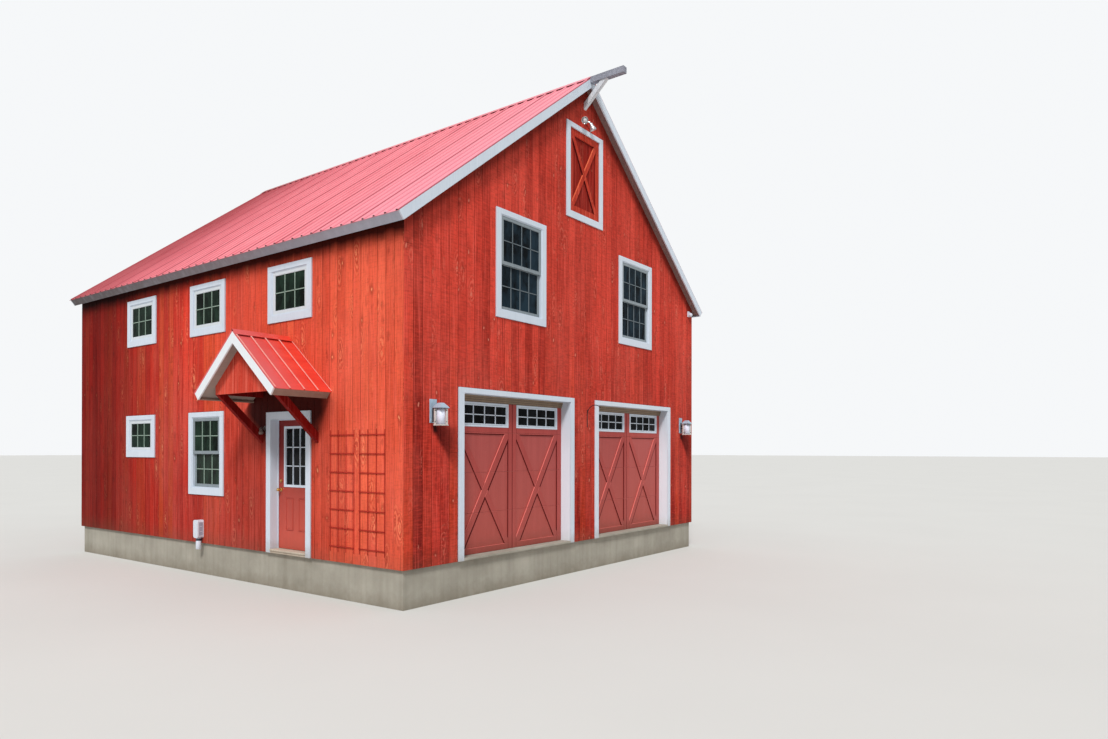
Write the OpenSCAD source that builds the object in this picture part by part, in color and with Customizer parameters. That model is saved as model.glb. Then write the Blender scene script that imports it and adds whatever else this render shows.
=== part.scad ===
// Two-storey gabled barn with two overhead garage doors, a loft door and a side entry under a bracketed hood.
// X runs across the front gable, Y runs back along the eave walls and Z is up.
// The origin is on the underside of the front foundation wall, on its middle line.

/* [Building] */
// Width across the front gable wall, outside the siding
barn_w = 8690; // [8400:10:9600]
// Length of the eave walls, outside the siding
barn_l = 10000; // [9200:10:12000]
// Height of the eave walls, from the siding's bottom edge to the roof's underside
eave_h = 4815; // [4700:5:5600]
// Thickness of the outside walls
wall_t = 190; // [170:5:240]

/* [Foundation and floors] */
// Height of the foundation, from the lowest ground to the siding's bottom edge
foundation_h = 550; // [300:10:900]
// Thickness of the foundation walls
foundation_t = 200; // [150:10:300]
// Setback of the foundation behind the face of the siding
foundation_inset = 40; // [0:5:100]
// Thickness of the ground-floor slab
slab_t = 120; // [100:10:200]
// Height of the upper floor's surface above the slab
upper_floor_z = 2950; // [2850:10:3200]
// Thickness of the upper floor
upper_floor_t = 240; // [180:10:300]
// Thickness of the loft floor
loft_floor_t = 200; // [150:10:260]
// Drop from the loft door's sill to the loft floor
loft_floor_drop = 65; // [20:5:150]

/* [Roof] */
// Pitch of the main roof, in degrees
roof_pitch = 37.9; // [37:0.1:42]
// Overhang of the roof past the eave walls
eave_overhang = 218; // [150:1:350]
// Overhang of the roof past the front gable
front_overhang = 157; // [100:1:300]
// Overhang of the roof past the back gable
back_overhang = 40; // [30:1:200]
// Thickness of the roof deck
deck_t = 112; // [90:1:125]
// Depth of the rake and eave boards
roof_board_h = 136; // [130:1:200]
// Thickness of the rake and eave boards
roof_board_t = 25; // [18:1:40]
// Thickness of the roof sheet
sheet_t = 5; // [2:0.5:8]
// Height of a rib on the roof sheet
rib_h = 19; // [10:1:30]
// Width of a rib at its foot
rib_foot_w = 50; // [30:1:70]
// Width of a rib at its top
rib_top_w = 20; // [10:1:28]
// Spacing of the ribs
rib_pitch = 229; // [200:1:305]
// Distance that the sheet runs past the eave boards
sheet_lip = 20; // [5:1:40]
// Width of each wing of the ridge cap
ridge_wing = 160; // [120:5:220]
// Thickness of the ridge cap
ridge_cap_t = 4; // [2:0.5:8]
// Clearance between sloped pieces that rest on each other
slope_clearance = 0.2; // [0.1:0.1:0.5]

/* [Hoist beam] */
// Width and height of the hoist beam
beam_size = 108; // [90:2:160]
// Reach of the hoist beam in front of the gable wall
beam_reach = 850; // [600:10:1200]
// Width of the beam's brace
beam_brace_w = 72; // [60:2:110]
// Depth of the beam's brace
beam_brace_h = 85; // [70:5:120]
// Distance from the gable wall to the brace's near edge on the beam's underside
beam_brace_reach = 366; // [240:2:400]
// Drop of the brace's near edge from the beam to the gable wall
beam_brace_drop = 322; // [240:2:400]
// Drop of the beam's top below the roof's peak
beam_drop = 0; // [0:5:60]

/* [Windows] */
// Thickness of the casing boards
casing_t = 25; // [18:1:35]
// Width of the side casings
casing_side_w = 112; // [90:1:130]
// Height of the head casings
casing_head_h = 85; // [70:1:110]
// Height of the sill casings
casing_sill_h = 118; // [90:1:140]
// Width of the small and the tall side windows' openings
side_win_w = 906; // [700:2:1000]
// Drop of the small upper windows' heads below the eave walls' top
upper_win_drop = 372; // [300:1:420]
// Height of the small upper windows' sills
upper_win_z = 3749; // [3700:1:3900]
// Height of the lower row's window heads
lower_win_head_z = 2201; // [2100:1:2300]
// Height of the small lower window's opening
lower_small_h = 600; // [500:2:700]
// Height of the tall lower window's opening
lower_tall_h = 1241; // [1000:1:1400]
// Places of the three upper side windows, from the front corner
upper_win_front_u = 2565; // [2400:5:2700]
upper_win_middle_u = 4955; // [4700:5:5200]
upper_win_rear_u = 7330; // [7000:5:7700]
// Places of the two lower side windows, from the front corner
lower_tall_u = 4995; // [4700:5:5200]
lower_small_u = 7370; // [7000:5:7700]
// Width of the gable windows' openings
gable_win_w = 1054; // [900:2:1100]
// Height of the gable windows' openings
gable_win_h = 1503; // [1300:1:1600]
// Height of the gable windows' sills
gable_win_z = 3823; // [3700:1:3900]
// Distance of the gable windows from the middle of the gable
gable_win_x = 1815; // [1650:5:1900]
// Thickness of the liners in the window openings
liner_t = 18; // [12:1:25]
// Setback of the liners behind the casings' faces
liner_setback = 12; // [4:1:16]
// Width of a sash's stiles and rails
sash_w = 48; // [35:1:60]
// Thickness of a sash
sash_t = 35; // [25:1:40]
// Setback of the outer sash behind the casings' face
sash_setback = 16; // [13:1:60]
// Setback of the glass behind the face of its sash
glass_setback = 11; // [10:1:14]
// Thickness of the window glass
glass_t = 6; // [4:1:8]

/* [Loft door] */
// Width of the loft door's opening
loft_door_w = 936; // [800:2:1000]
// Height of the loft door's opening
loft_door_h = 1485; // [1200:5:1550]
// Drop of the loft door's head below the peak of the gable wall
loft_door_drop = 847.5; // [830:0.5:900]
// Width of the upright boards at the loft door's sides
loft_stile_w = 80; // [60:1:100]
// Width of the level boards at the loft door's head and foot
loft_rail_w = 120; // [80:1:140]
// Width of the crossed boards on the loft door
loft_cross_w = 84; // [60:1:100]
// Thickness of the boards on the loft door
loft_board_t = 28; // [12:1:34]
// Thickness of the loft door behind its boards
loft_panel_t = 40; // [25:1:60]

/* [Garage doors] */
// Clear width between a garage door's jambs
garage_w = 2720; // [2400:10:2900]
// Clear height under a garage door's head
garage_h = 2475; // [2300:5:2550]
// Distance of the garage doors from the middle of the front wall
garage_x = 1812; // [1750:2:1900]
// Width of the garage doors' side casings
garage_casing_w = 112; // [90:1:140]
// Height of the garage doors' head casings
garage_head_h = 80; // [60:1:120]
// Thickness of the garage doors' jamb boards
garage_jamb_t = 25; // [18:1:35]
// Height of the garage doors' sill strips
garage_sill_h = 35; // [20:1:60]
// Distance that a garage door laps the wall behind its opening
garage_lap = 40; // [20:5:80]
// Thickness of a garage door behind its boards
garage_panel_t = 40; // [30:1:60]
// Thickness of the boards on a garage door
garage_board_t = 18; // [10:1:25]
// Width of the outer stiles on a garage door
garage_stile_w = 125; // [100:1:150]
// Width of the middle stile on a garage door
garage_middle_w = 205; // [160:1:240]
// Height of the rail under the garage door's windows
garage_rail_h = 106; // [80:1:130]
// Height of a garage door's bottom rail
garage_bottom_h = 129; // [100:1:160]
// Width of the crossed boards on a garage door
garage_cross_w = 112; // [60:1:130]
// Drop of the garage door windows' frames below the door's head
garage_win_drop = 103; // [80:1:130]
// Height of the garage door windows, with their frames
garage_win_h = 380; // [320:2:400]
// Width of the frames round the garage door windows
garage_win_frame = 52; // [30:1:70]

/* [Side door] */
// Place of the side door and its hood, from the front corner
door_u = 2590; // [2500:5:2700]
// Clear width between the side door's jambs
door_w = 915; // [850:5:950]
// Clear height under the side door's head
door_h = 2110; // [2050:5:2150]
// Thickness of the side door's jambs
door_jamb_t = 30; // [20:1:40]
// Width of the side door's casings
door_casing_w = 116; // [90:1:130]
// Height of the side door's sill
door_sill_h = 60; // [30:1:80]
// Running gap round the side door
door_gap = 5; // [5:0.5:8]
// Setback of the side door behind the face of the siding
door_setback = 133; // [60:1:135]
// Thickness of the side door
door_t = 44; // [35:1:50]
// Depth of the door stops
door_stop_w = 15; // [10:1:20]
// Distance that the door stops stand out of the jambs
door_stop_h = 12; // [10:1:20]
// Width of the side door's window, with its frame
door_win_w = 620; // [500:5:680]
// Height of the side door's window, with its frame
door_win_h = 960; // [800:5:1000]
// Height of the side door window's lower edge above the siding's bottom edge
door_win_z = 1042; // [1000:1:1080]
// Width of the frame round the side door's window
door_win_frame = 38; // [25:1:50]
// Distance that the side door's window frame stands out of the leaf
door_win_proud = 8; // [4:1:12]
// Diameter of the side door's knob
knob_d = 55; // [45:1:65]
// Height of the side door's knob
knob_z = 997; // [900:1:1020]
// Distance from the leaf's edge to the knob and the lock
backset = 65; // [60:1:70]
// Height of the lock above the knob
lock_rise = 138; // [120:1:160]
// Radius of a hinge pin
hinge_pin_r = 4; // [3:0.5:5]
// Radius of a hinge knuckle
hinge_r = 7; // [6.5:0.5:8]
// Height of a hinge
hinge_h = 100; // [75:5:120]
// Width of a hinge plate
hinge_plate_w = 40; // [25:1:42]
// Clearance in a hinge, round its pin and between its knuckles
hinge_clearance = 0.3; // [0.2:0.1:0.4]

/* [Door hood] */
// Reach of the hood in front of the side wall
hood_reach = 940; // [700:5:1100]
// Half of the hood's width, at the top of its eaves
hood_half_w = 1035; // [950:5:1150]
// Height of the hood's peak above the siding's bottom edge
hood_peak_z = 3350; // [3300:5:3420]
// Pitch of the hood's roof, in degrees
hood_pitch = 39.8; // [36:0.1:41]
// Thickness of the hood's deck
hood_deck_t = 90; // [60:1:110]
// Depth of the hood's rake and eave boards
hood_board_h = 130; // [115:1:160]
// Thickness of the hood's sheet
hood_sheet_t = 4; // [2:0.5:6]
// Height of a standing seam on the hood
hood_seam_h = 26; // [15:1:35]
// Width of a standing seam on the hood
hood_seam_w = 14; // [8:1:20]
// Number of sheets on each slope of the hood
hood_sheets = 4; // [3:1:6]
// Width of each wing of the hood's ridge cap
hood_cap_wing = 105; // [80:5:150]
// Setback of the hood's gable panel behind its front edge
hood_gable_setback = 176; // [100:1:250]
// Half of the width of the hood's gable panel
hood_gable_half_w = 760; // [700:5:800]
// Height of the hood's gable panel's lower edge
hood_gable_z = 2470; // [2430:5:2490]
// Thickness of the hood's gable panel
hood_gable_t = 30; // [20:1:50]
// Width of a hood brace
hood_brace_w = 80; // [60:1:110]
// Height of a hood brace's end on the wall
hood_brace_h = 150; // [100:5:180]
// Height of the lower tip of a hood brace
hood_brace_z = 1730; // [1650:5:1800]

/* [Lamps and fittings] */
// Distance of the garage lanterns from the barn's corners
lantern_u = 550; // [450:5:580]
// Height of the lower edge of a lantern's back plate
lantern_z = 2012; // [1900:2:2050]
// Width of a lantern's body
lantern_w = 140; // [110:2:160]
// Height of a lantern's back plate
lantern_plate_h = 335; // [280:5:360]
// Distance of a lantern's middle from the wall
lantern_reach = 160; // [130:2:180]
// Height of the porch lamp
porch_lamp_z = 1934; // [1850:2:1990]
// Distance of the porch lamp behind the side door's middle
porch_lamp_u = 625; // [600:5:640]
// Drop of the floodlights below the peak of the gable wall
floodlight_drop = 595; // [560:5:640]
// Length of the floodlights' arms
floodlight_arm = 110; // [90:5:130]
// Drop of the corner lamp below the top of the eave walls
corner_lamp_drop = 115; // [90:5:300]
// Distance of the corner lamp from the barn's corner
corner_lamp_u = 175; // [150:5:400]
// Distance of the plant hook from the middle of the front wall
hook_x = 90; // [0:5:200]
// Height of the plant hook's foot
hook_z = 2046; // [1900:2:2100]
// Bend radius of the plant hook
hook_r = 175; // [140:5:200]
// Place of the utility box, from the front corner
box_u = 5140; // [4900:10:5600]
// Width of the utility box
box_w = 150; // [120:5:320]
// Height of the utility box
box_h = 310; // [240:5:350]
// Depth of the utility box
box_d = 115; // [90:5:150]
// Height of the utility box's lower edge
box_z = 95; // [80:5:160]
// Length of the pipe stub under the utility box
stub_l = 200; // [150:5:260]
// Radius of the pipe stub
stub_r = 45; // [30:1:52]

/* [Trellis] */
// Distance of the trellis from the front corner
trellis_u = 355; // [250:5:450]
// Width of a trellis panel
trellis_w = 545; // [450:5:560]
// Gap between the two trellis panels
trellis_gap = 110; // [60:5:130]
// Height of the trellis's lower end
trellis_z = 150; // [100:5:250]
// Height of the trellis's upper end
trellis_top_z = 1919; // [1700:1:2000]
// Width of a trellis bar
trellis_bar_w = 14; // [12:1:30]
// Thickness of a trellis bar
trellis_bar_t = 10; // [6:1:16]

/* [Hidden] */
half_w = barn_w / 2;
front_y = -foundation_inset - foundation_t / 2;
back_y = front_y + barn_l;
base_z = foundation_h;
roof_cos = cos(roof_pitch);
roof_tan = tan(roof_pitch);
peak_z = base_z + eave_h + half_w * roof_tan + deck_t / roof_cos;
slope_l = (half_w + eave_overhang) / roof_cos;
roof_y0 = front_y - front_overhang;
roof_y1 = back_y + back_overhang;
rib_count = floor((roof_y1 - roof_y0 - rib_foot_w) / rib_pitch) + 1;
ridge_gap = 10;
gable_peak = eave_h + half_w * roof_tan;
upper_win_h = eave_h - upper_win_drop - upper_win_z;
loft_door_z = gable_peak - loft_door_drop - loft_door_h;
loft_floor_z = loft_door_z - loft_floor_drop;
floodlight_z = gable_peak - floodlight_drop;
corner_lamp_z = eave_h - corner_lamp_drop;
sash_y = sash_setback - casing_t;
lower_tall_z = lower_win_head_z - lower_tall_h;
lower_small_z = lower_win_head_z - lower_small_h;
garage_rough_w = garage_w + 2 * garage_jamb_t;
garage_rough_h = garage_h + garage_jamb_t;
garage_win_z = garage_h - garage_win_drop - garage_win_h;
garage_stop_h = garage_win_drop - 3;
garage_bay_w = garage_w / 2 - garage_stile_w - garage_middle_w / 2;
garage_bay_x = garage_middle_w / 2 + garage_bay_w / 2;
door_rough_w = door_w + 2 * door_jamb_t;
door_rough_h = door_h + door_jamb_t;
door_leaf_w = door_w - 2 * door_gap;
door_leaf_z = door_sill_h + door_gap;
door_leaf_h = door_h - door_gap - door_leaf_z;
door_back = door_setback + door_t;
wall_split_w = max(side_win_w, door_rough_w) + 140;
hinge_y = door_u - door_w / 2 + door_gap / 2;
hood_cos = cos(hood_pitch);
hood_tan = tan(hood_pitch);
hood_slope_l = hood_half_w / hood_cos;
gable_windows = [for (s = [-1, 1]) [s * gable_win_x, gable_win_z, gable_win_w, gable_win_h, 2]];
upper_windows = [for (u = [upper_win_front_u, upper_win_middle_u, upper_win_rear_u])
  [u, upper_win_z, side_win_w, upper_win_h, 1]];
lower_windows = [[lower_tall_u, lower_tall_z, side_win_w, lower_tall_h, 2],
  [lower_small_u, lower_small_z, side_win_w, lower_small_h, 1]];
right_extra = [[door_u, lower_small_z, side_win_w, lower_small_h, 1]];
back_lower = [for (s = [-1, 1]) [s * gable_win_x, lower_tall_z, side_win_w, lower_tall_h, 2]];
back_loft = [[0, loft_door_z, side_win_w, upper_win_h, 1]];
left_windows = concat(upper_windows, lower_windows);
right_windows = concat(upper_windows, lower_windows, right_extra);
back_windows = concat(gable_windows, back_lower, back_loft);
loft_opening = [0, loft_door_z, loft_door_w, loft_door_h, 1];
siding_red = [0.66, 0.17, 0.12];
trim_white = [0.88, 0.91, 0.95];
roof_red = [0.86, 0.36, 0.38];
door_red = [0.62, 0.27, 0.25];
timber_grey = [0.55, 0.53, 0.5];
lamp_grey = [0.62, 0.66, 0.7];
concrete_grey = [0.62, 0.6, 0.56];
$fn = 32;

// A box from its lowest to its highest corner.
module block(low, high) {
  translate(low) cube(high - low);
}

// The four wall frames: x runs along the wall, y goes into it from the face of the siding, z is up.
module front_side() {
  translate([0, front_y, base_z]) children();
}

module back_side() {
  translate([0, back_y, base_z]) rotate([0, 0, 180]) children();
}

module left_side() {
  translate([-half_w, front_y, base_z]) rotate([0, 0, -90]) mirror([1, 0, 0]) children();
}

module right_side() {
  translate([half_w, front_y, base_z]) rotate([0, 0, 90]) children();
}

// A flat outline in x and z, thickened along y.
module along_y(y0, y1) {
  translate([0, y1, 0]) rotate([90, 0, 0]) linear_extrude(y1 - y0) children();
}

// A flat outline in y and z, thickened along x.
module along_x(x0, x1) {
  translate([x0, 0, 0]) rotate([90, 0, 90]) linear_extrude(x1 - x0) children();
}

// A point of the right slope: s runs down from the ridge, n stands out of the deck's surface.
function slope_point(s, n) = [s * roof_cos + n * sin(roof_pitch), peak_z - s * sin(roof_pitch) + n * roof_cos];
function slope_ridge(n) = slope_point(-n * roof_tan, n);

// The outline of a layer on the right slope, cut plumb at the ridge.
function layer(s1, n0, n1) = [slope_ridge(n0), slope_point(s1, n0), slope_point(s1, n1), slope_ridge(n1)];

// The frame of the right slope: x runs down it, z stands out of it.
module on_right_slope() {
  translate([0, 0, peak_z]) rotate([0, roof_pitch, 0]) children();
}

module ring(low, high, side, head, sill) {
  difference() {
    block(low, high);
    block([low.x + side, low.y - 1, low.z + sill], [high.x - side, high.y + 1, high.z - head]);
  }
}

module window_holes(windows) {
  for (w = windows)
    block([w[0] - w[2] / 2, -1, w[1]], [w[0] + w[2] / 2, wall_t + 1, w[1] + w[3]]);
}

module casing(w) {
  ring([w[0] - w[2] / 2 - casing_side_w, -casing_t, w[1] - casing_sill_h],
    [w[0] + w[2] / 2 + casing_side_w, 0, w[1] + w[3] + casing_head_h],
    casing_side_w, casing_head_h, casing_sill_h);
}

// The casing of a window, with the liner of its opening.
module lined_casing(w) {
  casing(w);
  ring([w[0] - w[2] / 2, liner_setback - casing_t, w[1]], [w[0] + w[2] / 2, wall_t, w[1] + w[3]],
    liner_t, liner_t, liner_t);
}

module sash(x0, x1, y0, z0, z1) {
  ring([x0, y0, z0], [x1, y0 + sash_t, z1], sash_w, sash_w, sash_w);
}

// One fixed sash, or two sashes that meet at half height.
module sashes(w) {
  x0 = w[0] - w[2] / 2 + liner_t;
  x1 = w[0] + w[2] / 2 - liner_t;
  z0 = w[1] + liner_t;
  z1 = w[1] + w[3] - liner_t;
  middle = (z0 + z1) / 2;
  if (w[4] == 1) {
    sash(x0, x1, sash_y, z0, z1);
  } else {
    sash(x0, x1, sash_y, middle - sash_w / 2, z1);
    sash(x0, x1, sash_y + sash_t, z0, middle + sash_w / 2);
  }
}

module pane(x0, x1, y0, z0, z1) {
  block([x0 + sash_w, y0 + glass_setback, z0 + sash_w],
    [x1 - sash_w, y0 + glass_setback + glass_t, z1 - sash_w]);
}

module panes(windows) {
  for (w = windows) {
    x0 = w[0] - w[2] / 2 + liner_t;
    x1 = w[0] + w[2] / 2 - liner_t;
    z0 = w[1] + liner_t;
    z1 = w[1] + w[3] - liner_t;
    middle = (z0 + z1) / 2;
    if (w[4] == 1) {
      pane(x0, x1, sash_y, z0, z1);
    } else {
      pane(x0, x1, sash_y, middle - sash_w / 2, z1);
      pane(x0, x1, sash_y + sash_t, z0, middle + sash_w / 2);
    }
  }
}

// Two crossed boards in a field of width w and height h.
module crossed_boards(w, h, board) {
  intersection() {
    square([w, h], center = true);
    for (s = [-1, 1])
      rotate(s * atan2(h - board, w - board))
        square([w + h, board], center = true);
  }
}

module foundation_wall() {
  outer = half_w - foundation_inset;
  inner = outer - foundation_t;
  color(concrete_grey)
    difference() {
      block([-outer, front_y + foundation_inset, 0], [outer, back_y - foundation_inset, base_z]);
      block([-inner, front_y + foundation_inset + foundation_t, -1],
        [inner, back_y - foundation_inset - foundation_t, base_z + 1]);
    }
}

module floor_slab() {
  inner = half_w - foundation_inset - foundation_t;
  color(concrete_grey)
    block([-inner, front_y + foundation_inset + foundation_t, base_z - slab_t],
      [inner, back_y - foundation_inset - foundation_t, base_z]);
}

module upper_floor() {
  color(timber_grey)
    block([-half_w + wall_t, front_y + wall_t, base_z + upper_floor_z - upper_floor_t],
      [half_w - wall_t, back_y - wall_t, base_z + upper_floor_z]);
}

// The loft floor reaches the roof's underside on both sides, but for a small clearance.
module loft_floor() {
  z1 = base_z + loft_floor_z;
  z0 = z1 - loft_floor_t;
  x1 = half_w - (z1 + slope_clearance - base_z - eave_h) / roof_tan;
  x0 = half_w - (z0 + slope_clearance - base_z - eave_h) / roof_tan;
  color(timber_grey)
    along_y(front_y + wall_t, back_y - wall_t)
      polygon([[-x0, z0], [x0, z0], [x1, z1], [-x1, z1]]);
}

// The section of an eave wall between two heights above the siding's bottom edge.
module eave_wall(u0, u1, w0, w1) {
  top_out = eave_h - slope_clearance;
  top_in = top_out + wall_t * roof_tan;
  translate([u0, 0, 0]) rotate([90, 0, 90]) linear_extrude(u1 - u0)
    if (w1 < eave_h) {
      polygon([[0, w0], [wall_t, w0], [wall_t, w1], [0, w1]]);
    } else {
      polygon([[0, w0], [wall_t, w0], [wall_t, top_in], [0, top_out]]);
    }
}

module left_wall_front() {
  color(siding_red)
    left_side()
      union() {
        eave_wall(wall_t, door_u - door_rough_w / 2, 0, door_rough_h);
        eave_wall(wall_t, door_u - wall_split_w / 2, door_rough_h, eave_h);
      }
}

module left_wall_rear() {
  color(siding_red)
    left_side()
      difference() {
        union() {
          eave_wall(door_u + door_rough_w / 2, barn_l - wall_t, 0, door_rough_h);
          eave_wall(door_u + wall_split_w / 2, barn_l - wall_t, door_rough_h, eave_h);
        }
        window_holes([for (w = left_windows) if (w[0] > door_u + wall_split_w / 2) w]);
      }
}

module left_wall_over_door() {
  color(siding_red)
    left_side()
      difference() {
        eave_wall(door_u - wall_split_w / 2, door_u + wall_split_w / 2, door_rough_h, eave_h);
        window_holes([upper_windows[0]]);
      }
}

module right_wall() {
  color(siding_red)
    right_side()
      difference() {
        eave_wall(wall_t, barn_l - wall_t, 0, eave_h);
        window_holes(right_windows);
      }
}

module front_pier(x0, x1) {
  color(siding_red)
    front_side()
      block([x0, 0, 0], [x1, wall_t, garage_rough_h]);
}

module front_pier_left() {
  front_pier(-half_w, -garage_x - garage_rough_w / 2);
}

module front_pier_middle() {
  front_pier(-garage_x + garage_rough_w / 2, garage_x - garage_rough_w / 2);
}

module front_pier_right() {
  front_pier(garage_x + garage_rough_w / 2, half_w);
}

module gable_outline(z0) {
  top = eave_h - slope_clearance;
  polygon([[-half_w, z0], [half_w, z0], [half_w, top], [0, top + half_w * roof_tan], [-half_w, top]]);
}

module front_gable_wall() {
  color(siding_red)
    front_side()
      difference() {
        along_y(0, wall_t) gable_outline(garage_rough_h);
        window_holes(concat(gable_windows, [loft_opening]));
      }
}

module back_wall() {
  color(siding_red)
    back_side()
      difference() {
        along_y(0, wall_t) gable_outline(0);
        window_holes(back_windows);
      }
}

module right_roof_deck() {
  color(timber_grey)
    along_y(roof_y0 + roof_board_t, roof_y1 - roof_board_t)
      polygon(layer(slope_l - roof_board_t - slope_clearance, 0, -deck_t));
}

module left_roof_deck() {
  mirror([1, 0, 0]) right_roof_deck();
}

// A ribbed sheet, with its ribs set out from the front edge.
module right_roof_sheet() {
  first = roof_y0 + rib_foot_w / 2;
  low = slope_clearance;
  flat = low + sheet_t;
  ribs = [for (i = [0:rib_count - 1]) each [
    [first + i * rib_pitch - rib_foot_w / 2, flat],
    [first + i * rib_pitch - rib_top_w / 2, flat + rib_h],
    [first + i * rib_pitch + rib_top_w / 2, flat + rib_h],
    [first + i * rib_pitch + rib_foot_w / 2, flat]]];
  color(roof_red)
    on_right_slope()
      along_x(ridge_gap, slope_l + sheet_lip)
        polygon(concat([[roof_y0, low]], ribs, [[roof_y1, flat], [roof_y1, low]]));
}

module left_roof_sheet() {
  mirror([1, 0, 0]) right_roof_sheet();
}

module ridge_cap() {
  n0 = sheet_t + rib_h + 2 * slope_clearance;
  color(roof_red)
    along_y(roof_y0, roof_y1)
      for (m = [0, 1])
        mirror([m, 0, 0])
          polygon(layer(ridge_wing, n0, n0 + ridge_cap_t));
}

module rake_chevron(y0) {
  along_y(y0, y0 + roof_board_t)
    for (m = [0, 1])
      mirror([m, 0, 0])
        polygon(layer(slope_l, 0, -roof_board_h));
}

module rake_boards() {
  color(trim_white) {
    rake_chevron(roof_y0);
    rake_chevron(roof_y1 - roof_board_t);
  }
}

module eave_boards() {
  color(trim_white)
    for (m = [0, 1])
      mirror([m, 0, 0])
        on_right_slope()
          block([slope_l - roof_board_t, roof_y0 + roof_board_t, -roof_board_h],
            [slope_l, roof_y1 - roof_board_t, 0]);
}

// The beam butts against the rake boards at the peak.
module hoist_beam() {
  top = peak_z - beam_drop;
  color(timber_grey)
    block([-beam_size / 2, front_y - beam_reach, top - beam_size], [beam_size / 2, roof_y0, top]);
}

module hoist_beam_brace() {
  z1 = peak_z - beam_drop - beam_size;
  angle = atan2(beam_brace_drop, beam_brace_reach);
  color(timber_grey)
    along_x(-beam_brace_w / 2, beam_brace_w / 2)
      polygon([[front_y, z1 - beam_brace_drop - beam_brace_h / cos(angle)], [front_y, z1 - beam_brace_drop],
        [front_y - beam_brace_reach, z1], [front_y - beam_brace_reach - beam_brace_h / sin(angle), z1]]);
}

// A garage door: a sectional panel with framing boards and crossed boards on its face.
module garage_door(x) {
  field_top = garage_win_z - garage_rail_h;
  field_h = field_top - garage_bottom_h;
  back = wall_t + garage_board_t;
  color(door_red)
    front_side()
      translate([x, 0, 0])
        difference() {
          union() {
            block([-garage_w / 2 - garage_lap, back, garage_sill_h],
              [garage_w / 2 + garage_lap, back + garage_panel_t, garage_h + garage_lap]);
            difference() {
              block([-garage_w / 2, wall_t, garage_sill_h], [garage_w / 2, back, garage_h]);
              for (s = [-1, 1])
                block([s * garage_bay_x - garage_bay_w / 2, wall_t - 1, garage_bottom_h],
                  [s * garage_bay_x + garage_bay_w / 2, back + 1, field_top]);
            }
            for (s = [-1, 1])
              translate([s * garage_bay_x, 0, garage_bottom_h + field_h / 2])
                along_y(wall_t, back)
                  crossed_boards(garage_bay_w, field_h, garage_cross_w);
          }
          for (s = [-1, 1])
            block([s * garage_bay_x - garage_bay_w / 2, wall_t - 1, garage_win_z],
              [s * garage_bay_x + garage_bay_w / 2, back + garage_panel_t + 1, garage_win_z + garage_win_h]);
        }
}

module left_garage_door() {
  garage_door(-garage_x);
}

module right_garage_door() {
  garage_door(garage_x);
}

module each_garage_window() {
  front_side()
    for (x = [-garage_x, garage_x], s = [-1, 1])
      translate([x + s * garage_bay_x - garage_bay_w / 2, wall_t, garage_win_z])
        children();
}

module garage_window_frames() {
  color(trim_white)
    each_garage_window()
      ring([0, -8, 0], [garage_bay_w, garage_board_t + garage_panel_t, garage_win_h],
        garage_win_frame, garage_win_frame, garage_win_frame);
}

module garage_door_glass() {
  color("slategray")
    each_garage_window()
      block([garage_win_frame, garage_board_t, garage_win_frame],
        [garage_bay_w - garage_win_frame, garage_board_t + glass_t, garage_win_h - garage_win_frame]);
}

// Casing boards on the siding, jamb boards through the wall, a head stop and a sill strip.
module garage_casing() {
  w = garage_w / 2;
  difference() {
    union() {
      block([-w - garage_casing_w, -casing_t, 0], [w + garage_casing_w, 0, garage_h + garage_head_h]);
      block([-w - garage_jamb_t, 0, 0], [w + garage_jamb_t, wall_t, garage_rough_h]);
    }
    block([-w, -casing_t - 1, garage_sill_h], [w, wall_t + 1, garage_h]);
  }
  block([-w, wall_t - garage_jamb_t, garage_h - garage_stop_h], [w, wall_t, garage_h]);
}

module garage_door_casings() {
  color(trim_white)
    front_side()
      for (x = [-garage_x, garage_x])
        translate([x, 0, 0])
          garage_casing();
}

// The loft door: a panel with framing boards and crossed boards, flush with the siding.
module loft_door() {
  x = loft_door_w / 2;
  z0 = loft_door_z;
  z1 = loft_door_z + loft_door_h;
  inner_w = loft_door_w - 2 * loft_stile_w;
  inner_h = loft_door_h - 2 * loft_rail_w;
  color(siding_red)
    front_side() {
      block([-x, loft_board_t, z0], [x, loft_board_t + loft_panel_t, z1]);
      ring([-x, 0, z0], [x, loft_board_t, z1], loft_stile_w, loft_rail_w, loft_rail_w);
      translate([0, 0, z0 + loft_door_h / 2])
        along_y(0, loft_board_t)
          crossed_boards(inner_w, inner_h, loft_cross_w);
    }
}

module side_door_casing() {
  w = door_w / 2;
  stop = [door_setback - door_gap - door_stop_w, door_setback - door_gap];
  color(trim_white)
    left_side()
      translate([door_u, 0, 0]) {
        difference() {
          union() {
            block([-w - door_casing_w, -casing_t, 0], [w + door_casing_w, 0, door_h + door_casing_w]);
            block([-door_rough_w / 2, 0, 0], [door_rough_w / 2, door_back, door_rough_h]);
          }
          block([-w, -casing_t - 1, door_sill_h], [w, door_back + 1, door_h]);
        }
        difference() {
          block([-w, stop[0], door_sill_h], [w, stop[1], door_h]);
          block([-w + door_stop_h, stop[0] - 1, door_sill_h - 1], [w - door_stop_h, stop[1] + 1, door_h - door_stop_h]);
        }
      }
}

module door_window_hole() {
  block([-door_win_w / 2, door_setback - 1, door_win_z],
    [door_win_w / 2, door_back + 1, door_win_z + door_win_h]);
}

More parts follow.
